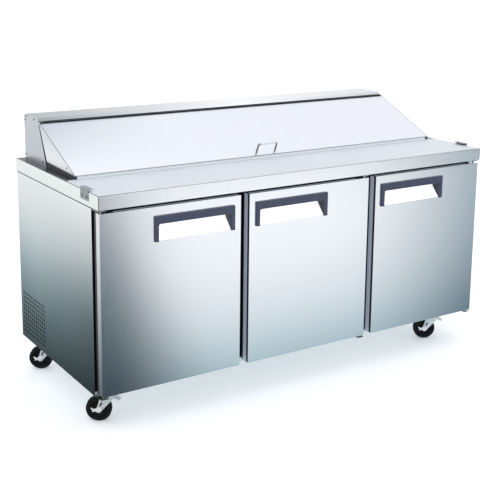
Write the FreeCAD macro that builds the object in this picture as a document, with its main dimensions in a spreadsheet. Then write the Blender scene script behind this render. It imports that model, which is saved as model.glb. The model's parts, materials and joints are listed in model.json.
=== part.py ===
import FreeCAD, Part
import Sketcher
import math
import os
import re

# Three-door refrigerated sandwich prep table, in millimetres.
# X runs along the width, Y from the door side (-) to the wall side (+), Z up from the floor.
# The origin is on the floor, under the centre of the table.

SIZES = {
    # cabinet and worktop
    "overall_width": 1847,
    "overall_depth": 800,
    "worktop_height": 895,
    "fascia_height": 51,
    "cabinet_bottom": 129,
    "body_front": 336,
    "sheet": 1.2,
    "panel_inset": 1.2,
    "shadow_gap": 5,
    "base_height": 16,
    "wall": 45,
    "liner_half_width": 875,
    "liner_back": 350,
    "frame_depth": 30,
    "top_rail_height": 51,
    "mullion_width": 96,
    # pan opening, board and hood
    "opening_half_width": 868,
    "opening_front": 92,
    "opening_rear": 235,
    "board_rear": 103,
    "board_recess": 11,
    "board_proud": 0.5,
    "board_play": 0.5,
    "board_corner": 25,
    "board_rim": 3,
    "pan_pitch": 192,
    "pan_width": 176,
    "pan_length": 325,
    "pan_depth": 100,
    "pan_sink": 18,
    "pan_rail": 12,
    "pan_gauge": 1.5,
    "collar_width": 12,
    "collar_front_height": 13,
    "collar_rear_height": 21,
    "collar_rear": 163,
    "hood_half_width": 884,
    "hood_height": 182,
    "hood_rear": 398,
    "hood_top_front": 261,
    "hood_lip_front": 247,
    "hood_lip_height": 171,
    "hood_foot": 170,
    "lining_front": 252,
    "lining_thickness": 16,
    # lid, measured from its hinge axis
    "lid_axis_front": 238,
    "lid_axis_height": 165.6,
    "lid_reach": 346,
    "lid_drop": 151.6,
    "lid_edge": 6.5,
    "lid_core": 18,
    "lid_pin": 5,
    "lid_handle_offset": -20,
    "lid_handle_span": 92,
    "lid_handle_rise": 50,
    "lid_handle_rod": 8,
    # doors
    "door_width": 586,
    "door_edge": 5,
    "door_height": 686,
    "door_bottom": 144.5,
    "door_setback": 3.5,
    "door_skin_depth": 30,
    "door_depth": 48,
    "gasket_depth": 12,
    "gasket_inset": 10,
    "gasket_width": 16,
    "hinge_side": 12,
    "hinge_back": 18.5,
    "hinge_pin": 8,
    "running_gap": 0.08,
    "handle_width": 340,
    "handle_inset": 30,
    "handle_top": 651.5,
    "handle_height": 96,
    "handle_bar": 30,
    "handle_leg": 14,
    "handle_proud": 8,
    "scoop_depth": 42,
    "scoop_rise": 46,
    # casters
    "wheel_radius": 49,
    "wheel_width": 30,
    "caster_trail": 33,
    "caster_left": 850,
    "caster_right": 785,
    "caster_row": 290,
    "caster_turn": -33.6,
    "axle_radius": 5,
    "lever_pivot": 14,
    "lever_height": 98,
    # machinery
    "bay_front": 60,
    "bay_right": 530,
    "bay_top": 460,
    "bulkhead": 30,
    "vent_pitch_y": 22,
    "vent_pitch_z": 18.4,
    "vent_radius": 4,
    "vent_first_y": 145,
    "vent_first_z": 162,
    "fan_radius": 72,
    "shelf_height": 500,
}

doc = FreeCAD.newDocument("SandwichPrepTable")
sheet = doc.addObject("Spreadsheet::Sheet", "Sizes")
for row, (alias, value) in enumerate(SIZES.items(), start=1):
    sheet.set(f"A{row}", alias)
    sheet.set(f"B{row}", str(value))
    sheet.setAlias(f"B{row}", alias)
doc.recompute()

NODES = []
WORD = re.compile(r"[a-z][a-z_]+")


# ---------------------------------------------------------------- helpers

def linked(expression):
    """The expression with each of the sheet's aliases written as a cell reference."""
    text = str(expression)
    return WORD.sub(lambda m: f"Sizes.{m.group()}" if m.group() in SIZES else m.group(), text)


def value_of(expression):
    return float(sheet.evalExpression(linked(expression)))


def bind(obj, prop, expression):
    obj.setExpression(prop, linked(expression))


def place(obj, x=0, y=0, z=0, axis=None, angle=0):
    """Bind the object's position; turn it by a fixed angle or one from the sheet."""
    for name, expression in zip("xyz", (x, y, z)):
        bind(obj, f"Placement.Base.{name}", expression)
    if axis:
        turn = FreeCAD.Rotation(FreeCAD.Vector(*axis), value_of(angle))
        obj.Placement = FreeCAD.Placement(obj.Placement.Base, turn)
        bind(obj, "Placement.Rotation.Angle", angle)
    return obj


def node(obj, label):
    """Name an object as a sub-part of its own."""
    obj.Label = label
    NODES.append(obj)
    return obj


def box(name, low, size):
    solid = doc.addObject("Part::Box", name)
    for prop, expression in zip(("Length", "Width", "Height"), size):
        bind(solid, prop, expression)
    return place(solid, *low)


def rod(name, low, radius, length, direction="z"):
    """A cylinder that starts at low and runs along x, y or z."""
    solid = doc.addObject("Part::Cylinder", name)
    bind(solid, "Radius", radius)
    bind(solid, "Height", length)
    turns = {"x": ((0, 1, 0), 90), "y": ((1, 0, 0), -90)}
    axis, angle = turns.get(direction, (None, 0))
    return place(solid, *low, axis=axis, angle=angle)


def cut(name, base, tool):
    result = doc.addObject("Part::Cut", name)
    result.Base = base
    result.Tool = tool
    return result


def fuse(name, solids):
    result = doc.addObject("Part::MultiFuse", name)
    result.Shapes = solids
    result.Refine = True
    return result


def group(name, solids):
    """Separate solids that are kept together, such as a set of screws."""
    result = doc.addObject("Part::Compound", name)
    result.Links = solids
    return result


def origin_plane(body, role):
    return next(f for f in body.Origin.OriginFeatures if f.Role == role)


def outline(body, role, points, offset=0):
    """A closed sketch through the points, each held by the sheet, on one of the body's own planes."""
    drawing = body.newObject("Sketcher::SketchObject", f"{body.Name}_outline")
    drawing.AttachmentSupport = [(origin_plane(body, role), "")]
    drawing.MapMode = "FlatFace"
    bind(drawing, "AttachmentOffset.Base.z", offset)
    corners = [FreeCAD.Vector(value_of(a), value_of(b), 0) for a, b in points]
    count = len(corners)
    for i in range(count):
        drawing.addGeometry(Part.LineSegment(corners[i], corners[(i + 1) % count]), False)
    for i in range(count):
        drawing.addConstraint(Sketcher.Constraint("Coincident", i, 2, (i + 1) % count, 1))
    for i, (a, b) in enumerate(points):
        for kind, expression, distance, axis in (("DistanceX", a, corners[i].x, -2),
                                                 ("DistanceY", b, corners[i].y, -1)):
            if abs(distance) < 1e-9:
                drawing.addConstraint(Sketcher.Constraint("PointOnObject", i, 1, axis))
                continue
            index = drawing.addConstraint(Sketcher.Constraint(kind, -1, 1, i, 1, distance))
            drawing.setExpression(f"Constraints[{index}]", linked(expression))
    return drawing


def rectangle(low_a, low_b, high_a, high_b):
    return [(low_a, low_b), (high_a, low_b), (high_a, high_b), (low_a, high_b)]


def new_body(name):
    return doc.addObject("PartDesign::Body", name)


def pad(body, role, points, length, offset=0, reverse=False):
    """Pad an outline. XY pads go up, YZ pads go to +X and XZ pads go to -Y, unless reversed."""
    feature = body.newObject("PartDesign::Pad", f"{body.Name}_pad")
    feature.Profile = outline(body, role, points, offset)
    bind(feature, "Length", length)
    feature.Reversed = reverse
    return feature


def pocket(body, role, points, depth, offset=0, reverse=False):
    """Pocket an outline, and make sure that it removed something."""
    doc.recompute()
    before = body.Shape.Volume
    feature = body.newObject("PartDesign::Pocket", f"{body.Name}_pocket")
    feature.Profile = outline(body, role, points, offset)
    bind(feature, "Length", depth)
    feature.Reversed = reverse
    doc.recompute()
    if body.Shape.Volume > before - 1:
        raise RuntimeError(f"{feature.Name} cut nothing")
    return feature


def round_edges(body, radius, chosen):
    """Fillet the edges of the body's last feature that the test chooses."""
    doc.recompute()
    tip = body.Tip
    names = [f"Edge{i}" for i, edge in enumerate(tip.Shape.Edges, start=1) if chosen(edge)]
    feature = body.newObject("PartDesign::Fillet", f"{body.Name}_fillet")
    feature.Base = (tip, names)
    bind(feature, "Radius", radius)
    return feature


def is_vertical(edge):
    box_of_edge = edge.BoundBox
    return box_of_edge.ZLength > 1 and box_of_edge.XLength < 0.01 and box_of_edge.YLength < 0.01


FASCIA_BASE = "(worktop_height - fascia_height)"
SKIN_X = "(overall_width/2 - panel_inset)"
FOAM_X = "(overall_width/2 - panel_inset - sheet)"
FLOOR_TOP = "(cabinet_bottom + base_height + sheet)"
LINER_FLOOR = "(cabinet_bottom + base_height + 2*sheet + wall - sheet)"
BACK_IN = "(overall_depth/2 - 2*sheet)"
CABINET_TOP = f"{FASCIA_BASE} - shadow_gap"
DOOR_PITCH = "(door_width + (overall_width - 2*door_edge - 3*door_width)/2)"
MULLION_X = f"{DOOR_PITCH}/2"

# how far a pocket or a bore reaches beyond the sheet that it passes through
THROUGH = 5
CLEAR = 2

# control plate and cord gland in the back panel
CONTROL_LEFT, CONTROL_RIGHT = -680, -580
CONTROL_BOTTOM, CONTROL_TOP = 330, 400
GLAND_X, GLAND_Z = -640, 192


# ---------------------------------------------------------------- cabinet shell

def side_panels():
    """Outer side sheets; the left one has the grid of round air holes of the compressor bay."""
    height = f"{CABINET_TOP} - cabinet_bottom"
    length = f"body_front + {BACK_IN}"
    right = box("right_side", (FOAM_X, "-body_front", "cabinet_bottom"), ("sheet", length, height))
    node(right, "right_side_panel")
    left = new_body("left_side")
    pad(left, "YZ_Plane", rectangle("-body_front", "cabinet_bottom", BACK_IN, CABINET_TOP), "sheet",
        offset=f"-{SKIN_X}")
    hole = left.newObject("PartDesign::Pocket", "air_hole")
    hole.Profile = air_hole_outline(left)
    hole.Length = THROUGH
    grid = left.newObject("PartDesign::MultiTransform", "air_hole_grid")
    grid.Originals = [hole]
    steps = []
    for name, axis, pitch, count in (("columns", "H_Axis", "vent_pitch_y", 11),
                                     ("rows", "V_Axis", "vent_pitch_z", 10)):
        step = left.newObject("PartDesign::LinearPattern", f"air_hole_{name}")
        step.Direction = (hole.Profile[0], [axis])
        bind(step, "Length", f"{pitch}*{count - 1}")
        step.Occurrences = count
        steps.append(step)
    grid.Transformations = steps
    left.Tip = grid
    node(left, "left_side_panel")


def air_hole_outline(body):
    """One round hole, low and at the front of the grid."""
    drawing = body.newObject("Sketcher::SketchObject", "air_hole_outline")
    drawing.AttachmentSupport = [(origin_plane(body, "YZ_Plane"), "")]
    drawing.MapMode = "FlatFace"
    bind(drawing, "AttachmentOffset.Base.z", f"-{FOAM_X}")
    y, z, radius = (SIZES[name] for name in ("vent_first_y", "vent_first_z", "vent_radius"))
    circle = Part.Circle(FreeCAD.Vector(y, z, 0), FreeCAD.Vector(0, 0, 1), radius)
    drawing.addGeometry(circle, False)
    held = ((("DistanceX", -1, 1, 0, 3, y), "vent_first_y"),
            (("DistanceY", -1, 1, 0, 3, z), "vent_first_z"),
            (("Radius", 0, radius), "vent_radius"))
    for constraint, alias in held:
        index = drawing.addConstraint(Sketcher.Constraint(*constraint))
        drawing.setExpression(f"Constraints[{index}]", linked(alias))
    return drawing


def back_panel():
    """Rear sheet with louvre slots behind the compressor bay and cut-outs for the control plate."""
    panel = new_body("back_sheet")
    pad(panel, "XZ_Plane", rectangle(f"-{FOAM_X}", "cabinet_bottom", FOAM_X, CABINET_TOP), "sheet",
        offset=f"-{BACK_IN}")
    slot_left, slot_right = -880, -700
    slot_bottom, slot_height, slot_pitch, slot_count = 170, 8, 18, 8
    gland_half = 12
    openings = []
    for i in range(slot_count):
        low = slot_bottom + slot_pitch*i
        openings.append(rectangle(slot_left, low, slot_right, low + slot_height))
    openings.append(rectangle(CONTROL_LEFT, CONTROL_BOTTOM, CONTROL_RIGHT, CONTROL_TOP))
    openings.append(rectangle(GLAND_X - gland_half, GLAND_Z - gland_half,
                              GLAND_X + gland_half, GLAND_Z + gland_half))
    for opening in openings:
        pocket(panel, "XZ_Plane", opening, THROUGH, offset=f"-{BACK_IN} + sheet + {CLEAR}")
    node(panel, "back_panel")


def base_frame():
    """Bottom sheet on two long rails and three cross bars that the casters bolt to."""
    bar, wide_bar = 40, 100
    rail = f"2*{FOAM_X}"
    left, front, low = f"-{FOAM_X}", "-body_front", "cabinet_bottom"
    rear_y = f"{BACK_IN} - sheet - {bar}"
    parts = [
        box("base_sheet", (left, front, f"{low} + base_height"),
            (rail, f"body_front + {BACK_IN} - sheet", "sheet")),
        box("front_rail", (left, front, low), (rail, bar, "base_height")),
        box("rear_rail", (left, rear_y, low), (rail, bar, "base_height")),
    ]
    cross = f"body_front + {BACK_IN} - sheet - 2*{bar}"
    cross_bars = (("left_cross_bar", "-caster_left", wide_bar), ("middle_cross_bar", "0", bar),
                  ("right_cross_bar", "caster_right", wide_bar))
    for name, centre, width in cross_bars:
        parts.append(box(name, (f"{centre} - {width}/2", f"{front} + {bar}", low),
                         (width, cross, "base_height")))
    node(group("base_members", parts), "base_frame")


def door_frame():
    """Face frame of the cabinet: two end stiles, top rail, sill and two mullions."""
    stile = (f"{FOAM_X} - liner_half_width", "frame_depth", f"{FASCIA_BASE} - {FLOOR_TOP}")
    front = "-body_front"
    inside = "-liner_half_width"
    parts = [
        box("left_stile", (f"-{FOAM_X}", front, FLOOR_TOP), stile),
        box("right_stile", ("liner_half_width", front, FLOOR_TOP), stile),
        box("top_rail", (inside, front, f"{FASCIA_BASE} - top_rail_height"),
            ("2*liner_half_width", "frame_depth", "top_rail_height")),
        box("sill", (inside, front, FLOOR_TOP),
            ("2*liner_half_width", "frame_depth", f"{LINER_FLOOR} - {FLOOR_TOP}")),
    ]
    mullion = ("mullion_width", "frame_depth", f"{FASCIA_BASE} - top_rail_height - {LINER_FLOOR}")
    for side in (-1, 1):
        parts.append(box("mullion", (f"{side}*{MULLION_X} - mullion_width/2", front, LINER_FLOOR), mullion))
    node(group("face_frame", parts), "door_frame")


def insulation_and_liner():
    """Foam slabs and the sheet liner, stepped over the compressor bay at the rear left."""
    front = "-body_front + frame_depth"
    top = FASCIA_BASE
    side = "liner_half_width + sheet"
    left = f"-{FOAM_X}"
    slab = f"{FOAM_X} - liner_half_width - sheet"
    full, above_bay = f"{top} - {FLOOR_TOP}", f"{top} - bay_top"
    to_bay, to_rear = f"bay_front - ({front})", f"liner_back - ({front})"
    rear_depth = f"{BACK_IN} - sheet - bay_front"
    back_foam = f"{BACK_IN} - sheet - liner_back"
    floor_foam = f"{LINER_FLOOR} - {FLOOR_TOP} - sheet"
    foam = [
        box("foam_left_front", (left, front, FLOOR_TOP), (slab, to_bay, full)),
        box("foam_left_rear", (left, "bay_front", "bay_top"), (slab, rear_depth, above_bay)),
        box("foam_right", (side, front, FLOOR_TOP), (slab, f"{BACK_IN} - sheet - ({front})", full)),
        box("foam_back", ("-bay_right", "liner_back", FLOOR_TOP), (f"bay_right + {side}", back_foam, full)),
        box("foam_back_upper", (f"-({side})", "liner_back", "bay_top"),
            (f"{side} - bay_right", back_foam, above_bay)),
        box("foam_floor_left", (f"-({side})", front, FLOOR_TOP),
            (f"{side} - bay_right", to_bay, floor_foam)),
        box("foam_floor", ("-bay_right", front, FLOOR_TOP), (f"bay_right + {side}", to_rear, floor_foam)),
    ]
    node(group("foam_slabs", foam), "foam_insulation")
    rear = "liner_back - sheet"
    low = f"{LINER_FLOOR} - sheet"
    inside = "-liner_half_width"
    left_width, right_width = "liner_half_width - bay_right", "liner_half_width + bay_right"
    wall_height = f"{top} - {LINER_FLOOR} + sheet"
    sheets = [
        box("liner_floor_left", (inside, front, low), (left_width, to_bay, "sheet")),
        box("liner_floor", ("-bay_right", front, low), (right_width, to_rear, "sheet")),
        box("liner_left_front", (f"-({side})", front, low), ("sheet", to_bay, wall_height)),
        box("liner_left_rear", (f"-({side})", "bay_front", "bay_top"),
            ("sheet", "liner_back - bay_front", above_bay)),
        box("liner_right", ("liner_half_width", front, low), ("sheet", to_rear, wall_height)),
        box("liner_rear", ("-bay_right", rear, LINER_FLOOR),
            (right_width, "sheet", f"{top} - {LINER_FLOOR}")),
        box("liner_rear_left", (inside, rear, "bay_top"), (left_width, "sheet", above_bay)),
    ]
    node(group("liner_sheets", sheets), "cabinet_liner")


def compressor_bulkhead():
    """Insulated front, right and top walls of the compressor bay."""
    left = f"-{FOAM_X}"
    behind = "bay_front + bulkhead"
    depth = f"{BACK_IN} - sheet - bay_front - bulkhead"
    width = f"{FOAM_X} - bay_right"
    parts = [
        box("bulkhead_front", (left, "bay_front", FLOOR_TOP),
            (width, "bulkhead", f"bay_top - {FLOOR_TOP}")),
        box("bulkhead_right", ("-bay_right - bulkhead", behind, FLOOR_TOP),
            ("bulkhead", depth, f"bay_top - bulkhead - {FLOOR_TOP}")),
        box("bulkhead_top", (left, behind, "bay_top - bulkhead"), (width, depth, "bulkhead")),
    ]
    node(group("bulkhead_walls", parts), "compressor_bulkhead")


# ---------------------------------------------------------------- worktop and pans

def worktop():
    """One folded sheet: fascia all round, a shallow tray for the board and the pan opening."""
    top = new_body("worktop_sheet")
    wide, deep = "overall_width/2", "overall_depth/2"
    tray_x, tray_y = f"({wide} - board_rim)", f"({deep} - board_rim)"
    inner_x, inner_y = f"({wide} - sheet)", f"({deep} - sheet)"
    pad(top, "XY_Plane", rectangle(f"-{wide}", f"-{deep}", wide, deep), "fascia_height", offset=FASCIA_BASE)
    pocket(top, "XY_Plane", rectangle(f"-{tray_x}", f"-{tray_y}", tray_x, "-board_rear"), "board_recess",
           offset="worktop_height")
    pocket(top, "XY_Plane", rectangle(f"-{inner_x}", f"-{inner_y}", inner_x, inner_y),
           "fascia_height - board_recess - sheet", offset=FASCIA_BASE, reverse=True)
    pocket(top, "XY_Plane", rectangle(f"-{inner_x}", "-board_rear + sheet", inner_x, inner_y),
           "fascia_height - sheet", offset=FASCIA_BASE, reverse=True)
    pocket(top, "XY_Plane", rectangle("-opening_half_width", "-opening_front", "opening_half_width",
                                      "opening_rear"),
           "2*sheet", offset="worktop_height")
    node(top, "worktop")


def worktop_core():
    """Foam blocks inside the worktop, around the pan opening."""
    half_width = "overall_width/2 - sheet"
    full = f"2*({half_width})"
    tall = "fascia_height - sheet"
    step = "-board_rear + sheet"
    parts = [
        box("core_front", (f"-({half_width})", "-overall_depth/2 + sheet", FASCIA_BASE),
            (full, f"{step} + overall_depth/2 - sheet", f"{tall} - board_recess")),
        box("core_lip", (f"-({half_width})", step, FASCIA_BASE),
            (full, f"-opening_front - ({step})", tall)),
        box("core_rear", (f"-({half_width})", "opening_rear", FASCIA_BASE),
            (full, "overall_depth/2 - sheet - opening_rear", tall)),
    ]
    for side, start in (("left", f"-({half_width})"), ("right", "opening_half_width")):
        parts.append(box(f"core_{side}", (start, "-opening_front", FASCIA_BASE),
                         (f"{half_width} - opening_half_width", "opening_front + opening_rear", tall)))
    node(group("worktop_foam", parts), "worktop_core")


def cutting_board():
    board = new_body("board")
    side = "(overall_width/2 - board_rim - board_play)"
    front = "-(overall_depth/2 - board_rim - board_play)"
    rear = "-board_rear - board_play"
    pad(board, "XY_Plane", rectangle(f"-{side}", front, side, rear), "board_recess + board_proud",
        offset="worktop_height - board_recess")
    behind_middle = -(SIZES["overall_depth"]/2 + SIZES["board_rear"])/2
    round_edges(board, "board_corner",
                lambda edge: is_vertical(edge) and edge.BoundBox.YMin > behind_middle)
    node(board, "cutting_board")


def board_clips():
    """Angle clips screwed to the fascia, one at each end, with a lip over the board."""
    width, drop, lip, gauge, rise, front = 66, 33, 17, 2, 11, 252
    low, high = f"worktop_height - {drop}", f"worktop_height + {rise}"
    clips = []
    for side in (-1, 1):
        clip = new_body("clip")
        outer = f"{side}*(overall_width/2 + {gauge})"
        face = f"{side}*overall_width/2"
        inner = f"{side}*(overall_width/2 - {lip})"
        under = f"{high} - {gauge}"
        pad(clip, "XZ_Plane", [(outer, low), (outer, high), (inner, high), (inner, under), (face, under),
                               (face, low)],
            width, offset=front)
        clips.append(clip)
    node(group("clip_pair", clips), "board_clips")


def pan_rails():
    """Ledges at the front and rear of the opening, and the removable bars between the pans."""
    play, ledge_height, bar_height, bar_width, bar_count = 3, 4, 5, 14, 8
    level = f"worktop_height - pan_sink - 2*pan_gauge - {play}"
    ledge = ("2*opening_half_width", "pan_rail", ledge_height)
    parts = [
        box("front_ledge", ("-opening_half_width", "-opening_front", level), ledge),
        box("rear_ledge", ("-opening_half_width", "opening_rear - pan_rail", level), ledge),
    ]
    length = "opening_front + opening_rear - 2*pan_rail"
    for i in range(bar_count):
        left = f"({i - (bar_count - 1)/2})*pan_pitch - {bar_width}/2"
        parts.append(box(f"divider_{i}", (left, "-opening_front + pan_rail", level),
                         (bar_width, length, bar_height)))
    node(group("ledges_and_bars", parts), "pan_rails")


def food_pans():
    """Nine third-size pans hanging by their rims on the ledges."""
    pan_count, rim_x, rim_y, play = 9, 8, 13, 0.5
    centre_y = "(opening_rear - opening_front)/2"
    rim_z = f"worktop_height - pan_sink - pan_gauge - {play}"
    half_x, half_y = "pan_width/2", "pan_length/2"
    well_x, well_y = f"({half_x} - {rim_x})", f"({half_y} - {rim_y})"
    inner_x, inner_y = f"({well_x} - pan_gauge)", f"({well_y} - pan_gauge)"
    pans = []
    for i in range(pan_count):
        pan = new_body(f"pan_{i}")
        pad(pan, "XY_Plane", rectangle(f"-{half_x}", f"-{half_y}", half_x, half_y), "pan_gauge")
        pad(pan, "XY_Plane", rectangle(f"-{well_x}", f"-{well_y}", well_x, well_y), "pan_depth",
            reverse=True)
        pocket(pan, "XY_Plane", rectangle(f"-{inner_x}", f"-{inner_y}", inner_x, inner_y), "pan_depth",
               offset="pan_gauge")
        place(pan, f"({i - (pan_count - 1)//2})*pan_pitch", centre_y, rim_z)
        pans.append(pan)
    node(group("pan_set", pans), "food_pans")


def pan_collar():
    """Dark raised seat that the closed lid rests over, at the front and both ends of the opening."""
    depth = 8
    front, base = f"-opening_front - {depth}", "worktop_height"
    front_bar = box("collar_front", ("-hood_half_width + collar_width", front, base),
                    ("2*hood_half_width - 2*collar_width", depth, "collar_front_height"))
    bars = [front_bar]
    profile = [(front, base), ("collar_rear", base), ("collar_rear", f"{base} + collar_rear_height"),
               (front, f"{base} + collar_front_height")]
    for start in ("-hood_half_width", "hood_half_width - collar_width"):
        end_bar = new_body("collar_end")
        pad(end_bar, "YZ_Plane", profile, "collar_width", offset=start)
        bars.append(end_bar)
    node(group("collar_bars", bars), "pan_collar")


# ---------------------------------------------------------------- hood and lid

def hood():
    """Bent cover sheet, two end panels and the insulated lining with its hinge ears."""
    base = "worktop_height"
    rear, roof = "hood_rear", f"{base} + hood_height"
    rise, run = "(hood_height - hood_lip_height)", "(hood_top_front - hood_lip_front)"
    slant = f"atan2({rise}; {run})"
    lip = ("hood_lip_front", f"{base} + hood_lip_height")
    lip_inside = (f"hood_lip_front + sheet*sin({slant})", f"{base} + hood_lip_height - sheet*cos({slant})")
    fold_inside = (f"hood_top_front + sheet*tan({slant}/2)", f"{roof} - sheet")
    cover = new_body("hood_sheet")
    pad(cover, "YZ_Plane",
        [(rear, base), (rear, roof), ("hood_top_front", roof), lip, lip_inside, fold_inside,
         (f"{rear} - sheet", f"{roof} - sheet"), (f"{rear} - sheet", base)],
        "2*(hood_half_width - sheet)", offset="-(hood_half_width - sheet)")
    node(cover, "hood_cover")
    ends = []
    for start in ("-hood_half_width", "hood_half_width - sheet"):
        end = new_body("hood_end")
        pad(end, "YZ_Plane", [("hood_foot", base), (rear, base), (rear, roof), ("hood_top_front", roof),
                              lip], "sheet",
            offset=start)
        ends.append(end)
    node(group("hood_ends", ends), "hood_end_panels")
    hood_lining(base)


def hood_lining(base):
    ear_width, ear_height, ear_reach, ear_drop = 6, 8, 4.5, 4.6
    half = "hood_half_width - collar_width"
    wall = box("lining_wall", (f"-({half})", "lining_front", base),
               (f"2*({half})", "lining_thickness", f"lid_axis_height + {CLEAR}"))
    parts = [wall]
    for i, start in enumerate((f"-({half})", f"{half} - {ear_width}")):
        blank = box(f"ear_{i}", (start, f"lid_axis_front - {ear_reach}",
                                 f"{base} + lid_axis_height - {ear_drop}"),
                    (ear_width, f"lining_front - lid_axis_front + {ear_reach}", ear_height))
        bore = rod(f"ear_bore_{i}", (f"{start} - {CLEAR}", "lid_axis_front", f"{base} + lid_axis_height"),
                   "lid_pin/2 + running_gap", ear_width + 2*CLEAR, "x")
        parts.append(cut(f"hinge_ear_{i}", blank, bore))
    node(group("lining_and_ears", parts), "hood_lining")


def casing_screws():
    """Dome heads on the hood's end panels and on the board clips."""
    head, hood_radius, clip_radius, clip_gauge, clip_drop = 2, 3.5, 4, 2, 19
    hood_spots = ((378, 174), (388, 160), (290, 174), (388, 17), (205, 14))
    clip_spots = (-264, -306)
    heads = []
    for side in (-1, 1):
        outward = head if side < 0 else 0
        hood_x = f"{side}*hood_half_width - {outward}"
        clip_x = f"{side}*(overall_width/2 + {clip_gauge}) - {outward}"
        for y, z in hood_spots:
            heads.append(rod("screw", (hood_x, y, f"worktop_height + {z}"), hood_radius, head, "x"))
        for y in clip_spots:
            heads.append(rod("screw", (clip_x, y, f"worktop_height - {clip_drop}"), clip_radius, head, "x"))
    node(group("screw_heads", heads), "casing_screws")


def lid():
    """Sloped lid that turns about a pin axis along its upper edge; drawn from that axis."""
    slope = math.atan2(SIZES["lid_drop"], SIZES["lid_reach"])
    along, across = round(math.cos(slope), 5), round(math.sin(slope), 5)
    upper = (f"-lid_edge*{along}", f"-lid_edge*{across}")
    lower = ("-lid_reach", "-lid_drop")
    lower_inside = (f"-lid_reach + sheet*{across}", f"-lid_drop - sheet*{along} + 0.55")
    upper_inside = (f"-lid_edge*{along} + sheet*{across}", f"-lid_edge*{across} - sheet*{along}")
    half, pin_length = "hood_half_width", 17
    plate = new_body("lid_plate")
    pad(plate, "YZ_Plane", [upper, lower, lower_inside, upper_inside], f"2*({half} - sheet)",
        offset=f"-({half} - sheet)")
    parts = [plate]
    heel = ("-75", "-lid_axis_height + collar_rear_height + 1")
    nose = [("-3", "-4.5"), ("3", "-4"), ("4", "0"), ("1", "3"), ("-2", "3")]
    for start, pin_start in ((f"-{half}", f"-({half} - sheet)"),
                             (f"{half} - sheet", f"{half} - sheet - {pin_length}")):
        cheek = new_body("lid_cheek")
        pad(cheek, "YZ_Plane", [lower, heel, *nose, upper], "sheet", offset=start)
        parts.append(cheek)
        parts.append(rod("lid_pin_stud", (pin_start, 0, 0), "lid_pin/2", pin_length, "x"))
    node(on_lid_axis(fuse("lid_sheet", parts)), "lid_shell")
    lid_foam(along, across)
    return math.degrees(slope), along, across


def on_lid_axis(obj):
    return place(obj, 0, "lid_axis_front", "worktop_height + lid_axis_height")


def lid_foam(along, across):
    """Insulating core under the lid's sheet, thinner towards the front edge."""
    start, end_gap, flat_length, play, front_play = 16, 24, 48, 0.05, 4
    gauge = f"(sheet + {play})"
    inner = f"({gauge} + lid_core)"
    flat = "-lid_drop + 0.8"
    core = new_body("lid_foam")
    pad(core, "YZ_Plane",
        [(f"-{start}*{along} + {gauge}*{across}", f"-{start}*{across} - {gauge}*{along}"),
         (f"-lid_reach + {front_play}", flat), (f"-lid_reach + {flat_length}", flat),
         (f"-{start}*{along} + {inner}*{across}", f"-{start}*{across} - {inner}*{along}")],
        f"2*(hood_half_width - {end_gap})", offset=f"-(hood_half_width - {end_gap})")
    node(on_lid_axis(core), "lid_core")


def lid_handle(slope, along, across):
    """Bent round rod that stands up from the lid near its lower edge."""
    radius, bend = "lid_handle_rod/2", 10
    half, rise = "lid_handle_span/2", "lid_handle_rise"
    parts = [rod("handle_bar", (f"-{half} + {bend}", 0, f"{rise} - {radius}"), radius,
                 f"2*({half} - {bend})", "x")]
    for side in (-1, 1):
        parts.append(rod("handle_leg", (f"{side}*{half}", 0, 0), radius, f"{rise} - {radius} - {bend}"))
        corner = doc.addObject("Part::Torus", "handle_bend")
        bind(corner, "Radius1", bend)
        bind(corner, "Radius2", radius)
        corner.Angle3 = 90
        turn = FreeCAD.Rotation(FreeCAD.Vector(1, 0, 0), 90)
        if side < 0:
            turn = FreeCAD.Rotation(FreeCAD.Vector(0, 0, 1), 180).multiply(turn)
        corner.Placement = FreeCAD.Placement(FreeCAD.Vector(0, 0, 0), turn)
        bind(corner, "Placement.Base.x", f"{side}*({half} - {bend})")
        bind(corner, "Placement.Base.z", f"{rise} - {radius} - {bend}")
        parts.append(corner)
    handle = fuse("handle_rod", parts)
    down = 362
    place(handle, "lid_handle_offset", f"lid_axis_front - {down}*{along}",
          f"worktop_height + lid_axis_height - {down}*{across}", (1, 0, 0), round(slope, 4))
    node(handle, "lid_handle")


# ---------------------------------------------------------------- doors

POCKET_BASE = "(handle_top - handle_height + 2)"
POCKET_CEILING = "(handle_top - 8)"


def door_left(index):
    return f"-(overall_width/2 - door_edge) + {index}*{DOOR_PITCH}"


def hinge_side_of(hinged_left):
    """The hinge pin's place across the door."""
    return "hinge_side" if hinged_left else "door_width - hinge_side"


def pin_bores(name, pin_x):
    """The two bores that the hinge pins turn in, through the door's bottom and top."""
    below, length, from_top = 10, 40, 30
    ends = (("low", -below), ("high", f"door_height - {from_top}"))
    return group(f"{name}_bores", [rod(f"{name}_bore_{end}", (pin_x, "hinge_back", z),
                                       "hinge_pin/2 + running_gap", length)
                                   for end, z in ends])


def door(label, index, hinged_left):
    """Door in its own frame: lower left front corner at the origin, face towards -Y."""
    corner = (door_left(index), "-(overall_depth/2 - door_setback)", "door_bottom")
    handle_left = "door_width - handle_inset - handle_width" if hinged_left else "handle_inset"
    window_left, window_right = f"{handle_left} + handle_leg", f"{handle_left} + handle_width - handle_leg"
    pin_x = hinge_side_of(hinged_left)
    door_skin(label, corner, window_left, pin_x)
    door_liner(label, corner, window_left, pin_x)
    door_gasket(label, corner)
    door_handle(label, corner, handle_left, window_left, window_right)


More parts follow.
